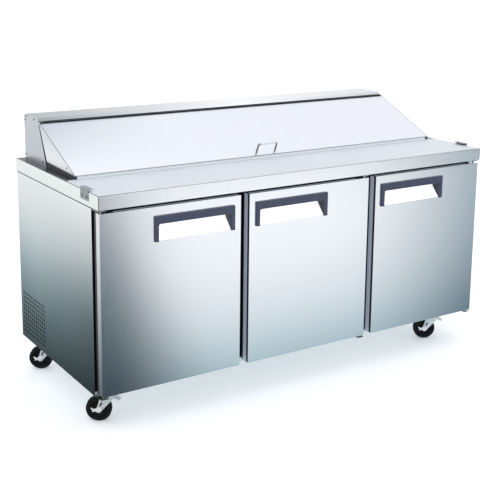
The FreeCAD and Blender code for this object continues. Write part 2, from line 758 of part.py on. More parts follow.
def door_skin(label, corner, window_left, pin_x):
    """Folded steel skin with the pressed finger pocket, a ramp that runs in and up from the face."""
    reach = 3
    pan = cut(f"{label}_pan", box(f"{label}_block", (0, 0, 0),
                                  ("door_width", "door_skin_depth", "door_height")),
              box(f"{label}_hollow", ("sheet", "sheet", "sheet"),
                  ("door_width - 2*sheet", "door_skin_depth", "door_height - 2*sheet")))
    window = box(f"{label}_window", (window_left, -1, POCKET_BASE),
                 ("handle_width - 2*handle_leg", reach + 1, f"{POCKET_CEILING} - {POCKET_BASE}"))
    ramp = new_body(f"{label}_ramp")
    pad(ramp, "YZ_Plane",
        [("sheet", POCKET_BASE), ("scoop_depth", f"{POCKET_BASE} + scoop_rise"),
         ("scoop_depth", POCKET_CEILING),
         ("scoop_depth - sheet", POCKET_CEILING),
         ("scoop_depth - sheet", f"{POCKET_BASE} + scoop_rise + 0.6"),
         (0, f"{POCKET_BASE} + 0.4"), (0, POCKET_BASE)],
        "handle_width - 2*handle_leg", offset=window_left)
    opened = cut(f"{label}_open_pan", pan, window)
    drilled = cut(f"{label}_drilled", opened, pin_bores(label, pin_x))
    node(place(fuse(f"{label}_sheet", [drilled, ramp]), *corner), f"{label}_skin")


def door_liner(label, corner, window_left, pin_x):
    """Foamed inner door, hollowed behind the finger pocket."""
    gauge = "(sheet + 0.02)"
    ramp_gap, play, end_play = 1.5, 0.3, 3
    core = new_body(f"{label}_inner")
    pad(core, "XZ_Plane", rectangle(gauge, gauge, f"door_width - {gauge}", f"door_height - {gauge}"),
        f"door_depth - {gauge}", offset=f"-{gauge}", reverse=True)
    pocket(core, "YZ_Plane",
           [(0, f"{POCKET_BASE} - {CLEAR}"), (f"scoop_depth + {play}",
                                              f"{POCKET_BASE} + scoop_rise - {ramp_gap}"),
            (f"scoop_depth + {play}", f"{POCKET_CEILING} + {play}"), (0, f"{POCKET_CEILING} + {play}")],
           f"handle_width - 2*handle_leg + 2*{end_play}", offset=f"{window_left} - {end_play}",
           reverse=True)
    drilled = cut(f"{label}_inner_drilled", core, pin_bores(f"{label}_core", pin_x))
    node(place(drilled, *corner), f"{label}_liner")


def door_gasket(label, corner):
    """Magnetic gasket round the inner face."""
    squeeze = 0.5
    outer = "gasket_inset"
    inner = "(gasket_inset + gasket_width)"
    ring = new_body(f"{label}_seal")
    pad(ring, "XZ_Plane", rectangle(outer, outer, f"door_width - {outer}", f"door_height - {outer}"),
        f"gasket_depth - {squeeze}", offset="-door_depth", reverse=True)
    pocket(ring, "XZ_Plane", rectangle(inner, inner, f"door_width - {inner}", f"door_height - {inner}"),
           f"gasket_depth + 2*{THROUGH}", offset=f"-door_depth + {THROUGH}")
    node(place(ring, *corner), f"{label}_gasket")


def door_handle(label, corner, handle_left, window_left, window_right):
    """Moulded handle frame with a cheek at each end of the finger pocket."""
    cheek_width, corner_radius, play = 1.5, 7, 0.3
    trim = new_body(f"{label}_trim")
    outer_right = f"{handle_left} + handle_width"
    base, bar = "handle_top - handle_height", "handle_top - handle_bar"
    pad(trim, "XZ_Plane",
        [(handle_left, base), (window_left, base), (window_left, bar), (window_right, bar),
         (window_right, base),
         (outer_right, base), (outer_right, "handle_top"), (handle_left, "handle_top")], "handle_proud")
    deep = f"scoop_depth - sheet - {play}"
    cheek = [(-2, f"{POCKET_BASE} + 3"), (0, f"{POCKET_BASE} + 2"),
             (deep, f"{POCKET_BASE} + scoop_rise + 2"),
             (deep, f"{POCKET_CEILING} - 0.2"), (-2, f"{POCKET_CEILING} - 0.2")]
    for start in (window_left, f"{window_right} - {cheek_width}"):
        pad(trim, "YZ_Plane", cheek, cheek_width, offset=start)
    sides = (value_of(window_left), value_of(window_right))
    round_edges(trim, corner_radius, lambda edge: edge.BoundBox.YLength > 1 and is_inner_corner(edge,
                                                                                                *sides))
    node(place(trim, *corner), f"{label}_handle")


def is_inner_corner(edge, low_x, high_x):
    """True for the two concave corners under the handle's bar."""
    z = value_of("handle_top - handle_bar")
    at_side = min(abs(edge.BoundBox.XMin - low_x), abs(edge.BoundBox.XMin - high_x)) < 0.01
    return at_side and abs(edge.BoundBox.ZMin - z) < 0.01 and edge.BoundBox.ZLength < 0.01


def hinge_x(index, hinged_left):
    return f"{door_left(index)} + {hinge_side_of(hinged_left)}"


def hinge_brackets(doors):
    """Upper and lower angle brackets with the pins that the doors turn on."""
    half, gauge, reach, upper_gap, lower_gap, upper_pin, lower_pin = 15, 3, 14, 7, 4, 22, 26
    pin_y = "-(overall_depth/2 - door_setback - hinge_back)"
    front = f"({pin_y} - {reach})"
    size = (2*half, f"-body_front - {front}", gauge)
    top, low = f"{FASCIA_BASE} - {upper_gap}", f"cabinet_bottom + {lower_gap}"
    brackets = []
    for label, index, hinged_left in doors:
        centre = hinge_x(index, hinged_left)
        left = f"{centre} - {half}"
        upper = [box(f"{label}_upper_plate", (left, front, top), size),
                 rod(f"{label}_upper_pin", (centre, pin_y, f"{top} - {upper_pin}"), "hinge_pin/2",
                     upper_pin)]
        lower = [box(f"{label}_lower_plate", (left, front, low), size),
                 rod(f"{label}_lower_pin", (centre, pin_y, f"{low} + {gauge}"), "hinge_pin/2", lower_pin)]
        brackets.append(fuse(f"{label}_upper_bracket", upper))
        brackets.append(fuse(f"{label}_lower_bracket", lower))
    node(group("hinge_set", brackets), "door_hinge_brackets")


# ---------------------------------------------------------------- inside fittings

BAYS = ((-868, -325), (-285, 285), (325, 868))


def shelves():
    """Coated wire shelves, one per door, on small clips."""
    wire, frame_wire, front, rear, gaps, play = 2, 3, -285, 325, 16, 0.2
    side_gap, clip_width, clip_height, clip_drop = 8, 14, 8, 11
    front_clip, rear_clip, clip_inset = 26, 30, 20
    length = rear - front - 2*(frame_wire + play)
    clip_z = f"shelf_height - {clip_drop}"
    wires, clips = [], []
    for low, high in BAYS:
        for y in (front, rear):
            wires.append(rod("shelf_edge", (low, y, "shelf_height"), frame_wire, high - low, "x"))
        for i in range(gaps + 1):
            x = low + side_gap + (high - low - 2*side_gap)*i/gaps
            wires.append(rod("shelf_wire", (x, front + frame_wire + play, "shelf_height"), wire, length,
                             "y"))
        for x in (low + clip_inset, high - clip_inset - clip_width):
            clips.append(box("clip_front", (x, "-body_front + frame_depth", clip_z),
                             (clip_width, front_clip, clip_height)))
            clips.append(box("clip_rear", (x, f"liner_back - sheet - {rear_clip}", clip_z),
                             (clip_width, rear_clip, clip_height)))
    node(group("shelf_wires", wires), "wire_shelves")
    node(group("clip_set", clips), "shelf_clips")


def fin_coil(name, width, depth, height, fins):
    """Finned block: deep slots between the fins, drawn in its own frame and centred on X."""
    header, slot_start, slot_end, slot_depth = 8, 0.3, 0.9, 0.4
    coil = new_body(name)
    pad(coil, "XY_Plane", rectangle(-width/2, 0, width/2, depth), height)
    pitch = width/fins
    first = rectangle(-width/2 + pitch*slot_start, header, -width/2 + pitch*slot_end, height - header)
    slot = pocket(coil, "XZ_Plane", first, depth*slot_depth)
    rows = coil.newObject("PartDesign::LinearPattern", f"{name}_fins")
    rows.Originals = [slot]
    rows.Direction = (slot.Profile[0], ["H_Axis"])
    rows.Length = pitch*(fins - 1)
    rows.Occurrences = fins
    coil.Tip = rows
    return coil


def fan(name, blades=5, pitch_angle=28):
    """Hub and pitched blades, drawn about the Z axis."""
    hub_radius, hub_height, root, chord, gauge = 18, 14, 14, 30, 1.5
    bore_radius, bore_length = 4.06, 12
    parts = [rod(f"{name}_hub", (0, 0, 0), hub_radius, hub_height)]
    twist = FreeCAD.Rotation(FreeCAD.Vector(1, 0, 0), pitch_angle)
    for i in range(blades):
        blade = doc.addObject("Part::Box", f"{name}_blade")
        bind(blade, "Length", f"fan_radius - {root}")
        blade.Width = chord
        blade.Height = gauge
        turn = FreeCAD.Rotation(FreeCAD.Vector(0, 0, 1), 360/blades*i)
        middle = FreeCAD.Vector(root, 0, hub_height/2)
        start = turn.multVec(middle + twist.multVec(FreeCAD.Vector(0, -chord/2, -gauge/2)))
        blade.Placement = FreeCAD.Placement(start, turn.multiply(twist))
        parts.append(blade)
    bore = rod(f"{name}_bore", (0, 0, -1), bore_radius, bore_length)
    return cut(f"{name}_wheel", fuse(f"{name}_rotor", parts), bore)


COLD_FAN_Y, COLD_FAN_Z = 262, 650
WARM_FAN_X, WARM_FAN_Y, WARM_FAN_Z = -838, 240, 265


def evaporator():
    """Coil, cover with its round outlet and fan, under the worktop at the rear."""
    coil_width, coil_depth, coil_height, coil_y, coil_z, fins = 480, 48, 170, 298, 565, 24
    node(place(fin_coil("cold_coil", coil_width, coil_depth, coil_height, fins), 0, coil_y, coil_z),
         "evaporator_coil")
    width, depth, height, gauge = 530, 108, 204, 1.5
    front, low = 240, 548
    shell = cut("cover_shell", box("cover_block", (-width/2, front, low), (width, depth, height)),
                box("cover_hollow", (-width/2 + gauge, front + gauge, low + gauge),
                    (width - 2*gauge, depth + CLEAR, height - 2*gauge)))
    mouth = rod("cover_mouth", (0, front - THROUGH, COLD_FAN_Z), "fan_radius + 5", 2*THROUGH, "y")
    node(cut("cover_sheet", shell, mouth), "evaporator_cover")
    node(place(fan("cold_fan"), 0, COLD_FAN_Y, COLD_FAN_Z, (1, 0, 0), 90), "evaporator_fan")


def condenser():
    """Coil and fan in the rear left bay; the coil faces the side panel's holes."""
    width, depth, height, fins, left, low = 230, 40, 200, 20, -870, 165
    coil = fin_coil("warm_coil", width, depth, height, fins)
    node(place(coil, left, WARM_FAN_Y, low, (0, 0, 1), 90), "condenser_coil")
    node(place(fan("warm_fan"), WARM_FAN_X, WARM_FAN_Y, WARM_FAN_Z, (0, 1, 0), -90), "condenser_fan")


def fan_motors():
    """Round motors with their shafts, each on an arm behind its fan."""
    shaft, cold_can, warm_can = 4, 26, 32
    cold_parts = [
        rod("cold_can", (0, COLD_FAN_Y + 4, COLD_FAN_Z), cold_can, 26, "y"),
        rod("cold_shaft", (0, COLD_FAN_Y - 9, COLD_FAN_Z), shaft, 13, "y"),
        box("cold_arm", (-10, COLD_FAN_Y + 14, 549.5), (20, 8, 101)),
    ]
    warm_parts = [
        rod("warm_can", (WARM_FAN_X + 6, WARM_FAN_Y, WARM_FAN_Z), warm_can, 46, "x"),
        rod("warm_shaft", (WARM_FAN_X - 10, WARM_FAN_Y, WARM_FAN_Z), shaft, 17, "x"),
        box("warm_arm", (WARM_FAN_X + 23, WARM_FAN_Y - 12, FLOOR_TOP), (10, 24, 105)),
    ]
    node(group("motor_pair", [fuse("cold_motor", cold_parts), fuse("warm_motor", warm_parts)]),
         "fan_motors")


def compressor():
    """Welded dome on a foot plate with four rubber feet."""
    centre_x, centre_y = -665, 235
    foot_offset, foot_radius, foot_height = 60, 9, 9
    plate_half, plate_gauge = 75, 3
    profile = [(0, 12), (70, 12), (76, 30), (76, 118), (68, 142), (44, 158), (0, 164)]
    dome = new_body("dome")
    drawing = outline(dome, "XZ_Plane", profile)
    turned = dome.newObject("PartDesign::Revolution", "dome_turned")
    turned.Profile = drawing
    turned.ReferenceAxis = (drawing, ["V_Axis"])
    turned.Angle = 360
    parts = [place(dome, centre_x, centre_y, FLOOR_TOP)]
    for side_x in (-1, 1):
        for side_y in (-1, 1):
            spot = (centre_x + side_x*foot_offset, centre_y + side_y*foot_offset, FLOOR_TOP)
            parts.append(rod("foot", spot, foot_radius, foot_height))
    parts.append(box("foot_plate", (centre_x - plate_half, centre_y - plate_half,
                                    f"{FLOOR_TOP} + {foot_height}"),
                     (2*plate_half, 2*plate_half, plate_gauge)))
    node(group("compressor_set", parts), "compressor")


def bent_tube(name, points, radius, bend):
    """Round tube along straight runs joined by tangent arcs."""
    vectors = [FreeCAD.Vector(*p) for p in points]
    edges, start = [], vectors[0]
    for before, corner, after in zip(vectors, vectors[1:], vectors[2:]):
        back = (before - corner).normalize()
        ahead = (after - corner).normalize()
        half_turn = back.getAngle(ahead)/2
        reach = bend/math.tan(half_turn)
        first, last = corner + back*reach, corner + ahead*reach
        middle = corner + (back + ahead).normalize()*(bend/math.sin(half_turn) - bend)
        edges.append(Part.LineSegment(start, first).toShape())
        edges.append(Part.Arc(first, middle, last).toShape())
        start = last
    edges.append(Part.LineSegment(start, vectors[-1]).toShape())
    path = Part.Wire(edges)
    circle = Part.Wire(Part.Circle(vectors[0], vectors[1] - vectors[0], radius).toShape())
    tube = doc.addObject("Part::Feature", name)
    tube.Shape = path.makePipeShell([circle], True, True)
    return tube


def refrigerant_lines():
    """Copper discharge and suction tubes between the compressor, the coils and the drier."""
    base = value_of(FLOOR_TOP)
    discharge_path = [(-665, 235, base + 166), (-665, 235, 360), (-665, 130, 360), (-760, 130, 360),
                      (-760, 130, 200)]
    suction_path = [(-588, 235, base + 70), (-575, 235, base + 70), (-575, 235, 415)]
    discharge = bent_tube("discharge_tube", discharge_path, 4, 14)
    suction = bent_tube("suction_tube", suction_path, 5, 8)
    drier_x, drier_y, _ = discharge_path[-1]
    drier = rod("drier", (drier_x, drier_y, 165), 11, 34)
    node(group("tube_set", [discharge, suction, drier]), "refrigerant_lines")


def controls():
    """Control plate in the back panel, with the rocker switch's window, and the cord gland."""
    play, case_front, case_depth = 0.5, 350, 49
    case_size = (CONTROL_RIGHT - CONTROL_LEFT - 2*play, case_depth, CONTROL_TOP - CONTROL_BOTTOM - 2*play)
    block = box("control_block", (CONTROL_LEFT + play, case_front, CONTROL_BOTTOM + play), case_size)
    rocker_x, rocker_y, rocker_z, half_width, window_play = -600, 397, 365, 10, 1
    window = box("rocker_window", (rocker_x - half_width - window_play, 375, 344),
                 (2*(half_width + window_play), 40, 42))
    nut = rod("gland_nut", (GLAND_X, 385, GLAND_Z), 11, 19.5, "y")
    bore = rod("gland_bore", (GLAND_X, 380, GLAND_Z), 4.5, 30, "y")
    node(group("control_set", [cut("control_case", block, window), cut("gland_ring", nut, bore)]),
         "control_box")
    rocker = new_body("rocker")
    pad(rocker, "YZ_Plane", [(-8, -17), (1, -18), (3, 0), (1, 18), (-8, 17)], 2*half_width,
        offset=-half_width)
    node(place(rocker, rocker_x, rocker_y, rocker_z), "power_rocker")


# ---------------------------------------------------------------- casters

CORNERS = {
    "front_left": ("-caster_left", "-caster_row"),
    "rear_left": ("-caster_left", "caster_row"),
    "front_right": ("caster_right", "-caster_row"),
    "rear_right": ("caster_right", "caster_row"),
}


def caster_plates():
    """Mounting plates under the base frame, each with its raceway and king pin."""
    half_length, half_width, gauge, race_radius, race_height, pin_radius = 47, 35, 3, 25, 8, 4
    top = f"cabinet_bottom - {gauge}"
    plates = []
    for name, (x, y) in CORNERS.items():
        parts = [
            box(f"{name}_plate", (f"{x} - {half_length}", f"{y} - {half_width}", top),
                (2*half_length, 2*half_width, gauge)),
            rod(f"{name}_race", (x, y, f"{top} - {race_height}"), race_radius, race_height),
            rod(f"{name}_king_pin", (x, y, f"{top} - 2*{race_height}"), pin_radius, race_height),
        ]
        plates.append(fuse(f"{name}_mount", parts))
    node(group("plate_set", plates), "caster_plates")


def caster(name, x, y):
    """Swivel fork with its axle bolt, wheel and brake lever, drawn about the swivel axis."""
    turn = ((0, 0, 1), "caster_turn")
    node(place(caster_fork(name), x, y, 0, *turn), f"{name}_caster_fork")
    hub_x = f"{x} - caster_trail*cos(caster_turn*1deg)"
    hub_y = f"{y} - caster_trail*sin(caster_turn*1deg)"
    node(place(caster_wheel(name), hub_x, hub_y, "wheel_radius", *turn), f"{name}_wheel")
    node(place(brake_lever(name), x, y, 0, *turn), f"{name}_brake_lever")


def caster_fork(name):
    disc_radius, disc_gauge, leg_gauge, leg_inside = 27, 5, 2.5, 17
    axle_half, pin_half, pin_radius, bore_radius, play = 23, 17.5, 2.5, 4.08, 0.05
    crown = "cabinet_bottom - 11.3"
    under = f"{crown} - {disc_gauge}"
    parts = [rod(f"{name}_crown", (0, 0, under), disc_radius, disc_gauge)]
    leg_profile = [(-21, under), (18, under), (20, "lever_height - 8"),
                   ("-caster_trail + 11", "wheel_radius - 6"),
                   ("-caster_trail + 5", "wheel_radius - 12"), ("-caster_trail - 5", "wheel_radius - 12"),
                   ("-caster_trail - 10", "wheel_radius - 4")]
    for offset in (-leg_inside - leg_gauge, leg_inside):
        leg = new_body(f"{name}_leg")
        pad(leg, "XZ_Plane", leg_profile, leg_gauge, offset=offset)
        parts.append(leg)
    parts.append(rod(f"{name}_axle", ("-caster_trail", -axle_half, "wheel_radius"), f"axle_radius - {play}",
                     2*axle_half, "y"))
    parts.append(rod(f"{name}_lever_pin", ("lever_pivot", -pin_half, "lever_height"), pin_radius,
                     2*pin_half, "y"))
    bore = rod(f"{name}_king_bore", (0, 0, f"{crown} - 8"), bore_radius, 12)
    return cut(f"{name}_fork_body", fuse(f"{name}_fork_blank", parts), bore)


def caster_wheel(name):
    """Wheel turned about X of its own drawing: raised hub, dished web and bevelled tread."""
    half, rim = "wheel_width/2", "wheel_radius"
    hub_out, web = 1.5, 9
    right_side = [(f"{half} + {hub_out}", "axle_radius"), (f"{half} + {hub_out}", 13), (web, 15), (web, 31),
                  (half, 34),
                  (half, f"{rim} - 6"), (f"{half} - 6", rim)]
    left_side = [(f"-({across})", height) for across, height in reversed(right_side)]
    wheel = new_body(f"{name}_tyre")
    drawing = outline(wheel, "YZ_Plane", right_side + left_side)
    turned = wheel.newObject("PartDesign::Revolution", f"{name}_tyre_turned")
    turned.Profile = drawing
    turned.ReferenceAxis = (drawing, ["H_Axis"])
    turned.Angle = 360
    doc.recompute()
    return wheel


def brake_lever(name):
    """Foot pedal over the rear of the fork, on its own pin."""
    half_width, bore_radius, bore_half = 13, 2.58, 20
    lever = new_body(f"{name}_pedal")
    pad(lever, "XZ_Plane",
        [("lever_pivot - 6", "lever_height - 5"), ("lever_pivot + 6", "lever_height - 5.5"), (48, 84),
         (50, 87),
         ("lever_pivot + 8", "lever_height + 4"), ("lever_pivot - 4", "lever_height + 5")],
        2*half_width, offset=-half_width)
    bore = rod(f"{name}_lever_bore", ("lever_pivot", -bore_half, "lever_height"), bore_radius, 2*bore_half,
               "y")
    return cut(f"{name}_lever", lever, bore)


# ---------------------------------------------------------------- assembly

DOORS = (("left_door", 0, True), ("middle_door", 1, False), ("right_door", 2, False))


def check_and_write():
    doc.recompute()
    for obj in doc.Objects:
        if "Invalid" in obj.State or "Error" in obj.State:
            raise RuntimeError(f"{obj.Name} failed: {obj.State}")
    os.makedirs("parts", exist_ok=True)
    for obj in NODES:
        shape = obj.Shape
        if shape.isNull() or not shape.isValid():
            raise RuntimeError(f"{obj.Label} has no valid shape")
        shape.exportStep(f"parts/{obj.Label}.step")
    print(len(NODES), "sub-parts written")


def main():
    side_panels()
    back_panel()
    base_frame()
    door_frame()
    insulation_and_liner()
    compressor_bulkhead()
    worktop()
    worktop_core()
    cutting_board()
    board_clips()
    pan_rails()
    food_pans()
    pan_collar()
    hood()
    casing_screws()
    slope, along, across = lid()
    lid_handle(slope, along, across)
    for label, index, hinged_left in DOORS:
        door(label, index, hinged_left)
    hinge_brackets(DOORS)
    shelves()
    evaporator()
    condenser()
    fan_motors()
    compressor()
    refrigerant_lines()
    controls()
    caster_plates()
    for name, (x, y) in CORNERS.items():
        caster(name, x, y)
    check_and_write()


main()
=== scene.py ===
import json
import math

import bmesh
import bpy
from mathutils import Matrix, Vector


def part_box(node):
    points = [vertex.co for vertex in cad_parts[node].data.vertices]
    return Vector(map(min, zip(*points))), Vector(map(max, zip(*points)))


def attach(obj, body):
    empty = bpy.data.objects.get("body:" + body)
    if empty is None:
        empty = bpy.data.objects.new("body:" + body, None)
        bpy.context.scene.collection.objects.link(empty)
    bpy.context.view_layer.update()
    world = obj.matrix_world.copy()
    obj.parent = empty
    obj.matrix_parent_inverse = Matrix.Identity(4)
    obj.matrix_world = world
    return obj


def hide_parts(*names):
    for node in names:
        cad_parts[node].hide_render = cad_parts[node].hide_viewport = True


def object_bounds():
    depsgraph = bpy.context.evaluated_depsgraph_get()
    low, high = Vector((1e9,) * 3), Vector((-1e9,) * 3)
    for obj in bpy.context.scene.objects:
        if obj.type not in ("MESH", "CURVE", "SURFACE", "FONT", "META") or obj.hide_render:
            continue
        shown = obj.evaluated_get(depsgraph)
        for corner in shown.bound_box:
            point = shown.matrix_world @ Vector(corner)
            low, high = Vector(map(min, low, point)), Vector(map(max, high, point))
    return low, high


# Looks of a three-door sandwich prep table.
# Metres, +Z up, doors towards -Y, origin on the floor under the centre.

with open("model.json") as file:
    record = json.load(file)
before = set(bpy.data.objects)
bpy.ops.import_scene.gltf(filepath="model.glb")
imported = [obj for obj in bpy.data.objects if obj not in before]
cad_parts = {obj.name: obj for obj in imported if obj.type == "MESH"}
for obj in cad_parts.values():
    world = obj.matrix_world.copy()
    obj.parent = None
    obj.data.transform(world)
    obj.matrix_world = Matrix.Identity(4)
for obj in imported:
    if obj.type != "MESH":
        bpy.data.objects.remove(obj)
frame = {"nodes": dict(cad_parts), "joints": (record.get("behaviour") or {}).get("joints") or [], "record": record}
CAD_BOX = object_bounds()
NODES = frame["nodes"]
SLOT_OF = {part["node"]: part["material_slot"] for part in frame["record"]["subparts"]}
JOINTS = {joint["name"]: joint for joint in frame["joints"]}
MM = 0.001
UP = Vector((0, 0, 1))
DOORS = ("left_door", "middle_door", "right_door")
CORNERS = ("front_left", "rear_left", "front_right", "rear_right")

# camera, fitted to the table's own corners
CAMERA_PLACE = (-2.3498, -3.5464, 1.7128)
CAMERA_AZIMUTH, CAMERA_ELEVATION, CAMERA_ROLL = -33.135, 11.558, 0.675
CAMERA_LENS = 72.853
CAMERA_SHIFT = -0.17


# ---------------------------------------------------------------- node trees

def scaled(colour, share):
    """A colour made darker or lighter, no lighter than white."""
    return [min(1.0, c*share) for c in colour]


class Nodes:
    """A node tree being built: every method adds nodes and gives back the socket to use next."""

    def __init__(self, tree, coordinates="Object"):
        self.tree = tree
        self.coordinates = self.add("ShaderNodeTexCoord").outputs[coordinates]

    def add(self, kind, inputs=None, **settings):
        made = self.tree.nodes.new(kind)
        for name, value in settings.items():
            setattr(made, name, value)
        for socket, value in (inputs or {}).items():
            if isinstance(value, bpy.types.NodeSocket):
                self.tree.links.new(value, made.inputs[socket])
            else:
                made.inputs[socket].default_value = value
        return made

    def component(self, vector, axis):
        return self.add("ShaderNodeSeparateXYZ", {"Vector": vector}).outputs["xyz".index(axis)]

    def position(self, axis):
        """The place in the object's own space along one axis."""
        return self.component(self.coordinates, axis)

    def noise(self, scale, stretch=(1, 1, 1), detail=3.0):
        """Noise in the object's own space, finer along the axes whose stretch is larger."""
        mapped = self.add("ShaderNodeMapping", {"Vector": self.coordinates, "Scale": stretch}).outputs[0]
        settings = {"Vector": mapped, "Scale": scale, "Detail": detail}
        return self.add("ShaderNodeTexNoise", settings).outputs[0]

    def calculate(self, operation, *values):
        return self.add("ShaderNodeMath", dict(enumerate(values)), operation=operation).outputs[0]

    def ramp(self, factor, stops):
        made = self.add("ShaderNodeValToRGB", {"Fac": factor})
        points = made.color_ramp.elements
        while len(points) < len(stops):
            points.new(0.5)
        for point, (place, colour) in zip(points, stops):
            point.position = place
            point.color = (*colour, 1)
        return made.outputs[0]

    def span(self, value, low, high, source=(0.0, 1.0), kind="LINEAR"):
        """The source range of a value stretched to run from low to high."""
        ends = {"Value": value, 1: source[0], 2: source[1], 3: low, 4: high}
        return self.add("ShaderNodeMapRange", ends, interpolation_type=kind).outputs[0]

    def mix(self, factor, first, second, blend="MIX"):
        made = self.add("ShaderNodeMix", data_type="RGBA", blend_type=blend)
        for place, value in ((0, factor), (6, first), (7, second)):
            if isinstance(value, bpy.types.NodeSocket):
                self.tree.links.new(value, made.inputs[place])
            else:
                made.inputs[place].default_value = value if place == 0 else (*value, 1)
        return made.outputs[2]


class Look(Nodes):
    """A surface material; link() feeds its Principled shader."""

    def __init__(self, name, colour, roughness, metallic=0.0, **constants):
        self.material = bpy.data.materials.new(name)
        self.material.use_nodes = True
        super().__init__(self.material.node_tree)
        self.shader = self.tree.nodes["Principled BSDF"]
        self.colour = colour
        self.roughness = roughness
        self.set("Base Color", (*colour, 1))
        self.set("Roughness", roughness)
        self.set("Metallic", metallic)
        for socket, value in constants.items():
            self.set(socket.replace("_", " "), value)

    def set(self, socket, value):
        self.shader.inputs[socket].default_value = value

    def link(self, output, socket):
        self.tree.links.new(output, self.shader.inputs[socket])

    def relief(self, height, distance, strength=1.0):
        inputs = {"Height": height, "Distance": distance, "Strength": strength}
        self.link(self.add("ShaderNodeBump", inputs).outputs[0], "Normal")

    def vary_roughness(self, factor, spread):
        rough = self.span(factor, self.roughness - spread, self.roughness + spread, (0.3, 0.7))
        self.link(rough, "Roughness")

    def vary_colour(self, factor, spread):
        stops = ((0.3, scaled(self.colour, 1 - spread)), (0.7, scaled(self.colour, 1 + spread)))
        self.link(self.ramp(factor, stops), "Base Color")

    def scratch(self, grain, spread=0.03):
        """Long fine scratches along the grain, in the gloss and the relief. Gives back their pattern."""
        scratches = self.noise(1500, GRAIN[grain], 4)
        self.vary_roughness(scratches, spread)
        self.relief(scratches, 0.00001, 0.15)
        return scratches


# ---------------------------------------------------------------- materials

GRAIN = {"x": (0.012, 1, 1), "z": (1, 1, 0.012)}
STEEL = (0.83, 0.85, 0.87)
LID_STEEL = (0.83, 0.84, 0.87)
WORKTOP_STEEL = (0.86, 0.88, 0.89)


def brushed(name, colour, grain, roughness=0.22):
    """Brushed sheet: scratches along the grain, with a faint cloudy variation over them."""
    look = Look(name, colour, roughness, 1.0)
    scratches = look.scratch(grain)
    cloud = look.noise(3.1, detail=2)
    fine = look.ramp(scratches, ((0.25, scaled(colour, 0.975)), (0.75, scaled(colour, 1.015))))
    look.link(look.mix(look.span(cloud, 0.0, 0.2), fine, scaled(colour, 0.96)), "Base Color")
    return look.material


def cast_speckle(name, colour, roughness, metallic):
    """Zinc or plain metal with a fine spangle."""
    look = Look(name, colour, roughness, metallic)
    cells = look.add("ShaderNodeTexVoronoi", {"Vector": look.coordinates, "Scale": 220.0})
    tone = look.add("ShaderNodeSeparateColor", {"Color": cells.outputs["Color"]}).outputs[0]
    look.link(look.ramp(tone, ((0.0, scaled(colour, 0.86)), (1.0, scaled(colour, 1.06)))), "Base Color")
    look.link(look.span(tone, roughness - 0.06, roughness + 0.08), "Roughness")
    look.relief(look.noise(700), 0.0001, 0.3)
    return look.material


def stucco_aluminium():
    """Embossed aluminium sheet of the cabinet's inside."""
    look = Look("stucco_aluminium", (0.80, 0.82, 0.83), 0.34, 1.0)
    pattern = {"Vector": look.coordinates, "Scale": 150.0}
    look.vary_colour(look.noise(30), 0.03)
    look.relief(look.add("ShaderNodeTexVoronoi", pattern, feature="SMOOTH_F1").outputs[0], 0.0008, 0.5)
    return look.material


def moulded(name, colour, roughness, grain_scale=1400, depth=0.00012, spread=0.12):
    """Moulded plastic with a fine spark-eroded grain."""
    look = Look(name, colour, roughness)
    look.vary_colour(look.noise(45), spread)
    look.vary_roughness(look.noise(120), 0.06)
    look.relief(look.noise(grain_scale, detail=2), depth, 0.6)
    return look.material


def board_plastic():
    """White polyethylene board: slightly waxy, with the planing marks of its top."""
    look = Look("board_plastic", (0.66, 0.70, 0.725), 0.42, Subsurface_Weight=0.05)
    marks = look.noise(420, (1, 0.05, 1))
    look.vary_colour(look.noise(6, detail=2), 0.018)
    look.vary_roughness(marks, 0.05)
    look.relief(marks, 0.00008, 0.3)
    return look.material


def polished(name, colour=(0.86, 0.87, 0.88), roughness=0.12):
    look = Look(name, colour, roughness, 1.0)
    look.vary_roughness(look.noise(260), 0.04)
    look.vary_colour(look.noise(60), 0.03)
    look.relief(look.noise(500), 0.00005, 0.2)
    return look.material


def glowing_scoop_white():
    """Glossy white pocket lining that glows as painted light, bright enough to stay white in its own shadow."""
    look = Look("glowing_scoop_white", (0.92, 0.93, 0.94), 0.25,
                Emission_Color=(1, 1, 1, 1), Emission_Strength=0.62)
    look.vary_colour(look.noise(40), 0.01)
    look.vary_roughness(look.noise(160), 0.04)
    look.relief(look.noise(700), 0.00003, 0.3)
    return look.material


def folded_edge(name, colour, roughness, metallic, **constants):
    """Satin folded edge of a door, streaked along its height."""
    look = Look(name, colour, roughness, metallic, **constants)
    look.vary_colour(look.noise(900, GRAIN["z"]), 0.03)
    look.vary_roughness(look.noise(300, GRAIN["z"]), 0.05)
    look.relief(look.noise(900, GRAIN["z"]), 0.00002, 0.2)
    return look


def edge_satin():
    """Folded edge at the outer end of the door row, with painted shade darkening it towards the floor."""
    look = folded_edge("edge_satin", (0.86, 0.87, 0.88), 0.5, 1.0)
    streaks = look.ramp(look.noise(900, GRAIN["z"]), ((0.3, (0.83, 0.84, 0.85)), (0.7, (0.88, 0.89, 0.90))))
    # painted shade: the edge turns dark towards the floor
    painted_shade_low = look.span(look.position("z"), 0.62, 0.0, (0.10, 0.75))
    look.link(look.mix(painted_shade_low, streaks, (0.10, 0.12, 0.13)), "Base Color")
    return look.material


def glowing_edge_grey():
    """Folded edge beside another door, made to glow as painted light so it stays grey in the narrow gap between
    them.
    """
    return folded_edge("glowing_gap_edge", (0.42, 0.47, 0.54), 0.4, 0.3,
                       Emission_Color=(0.50, 0.58, 0.70, 1), Emission_Strength=0.24).material


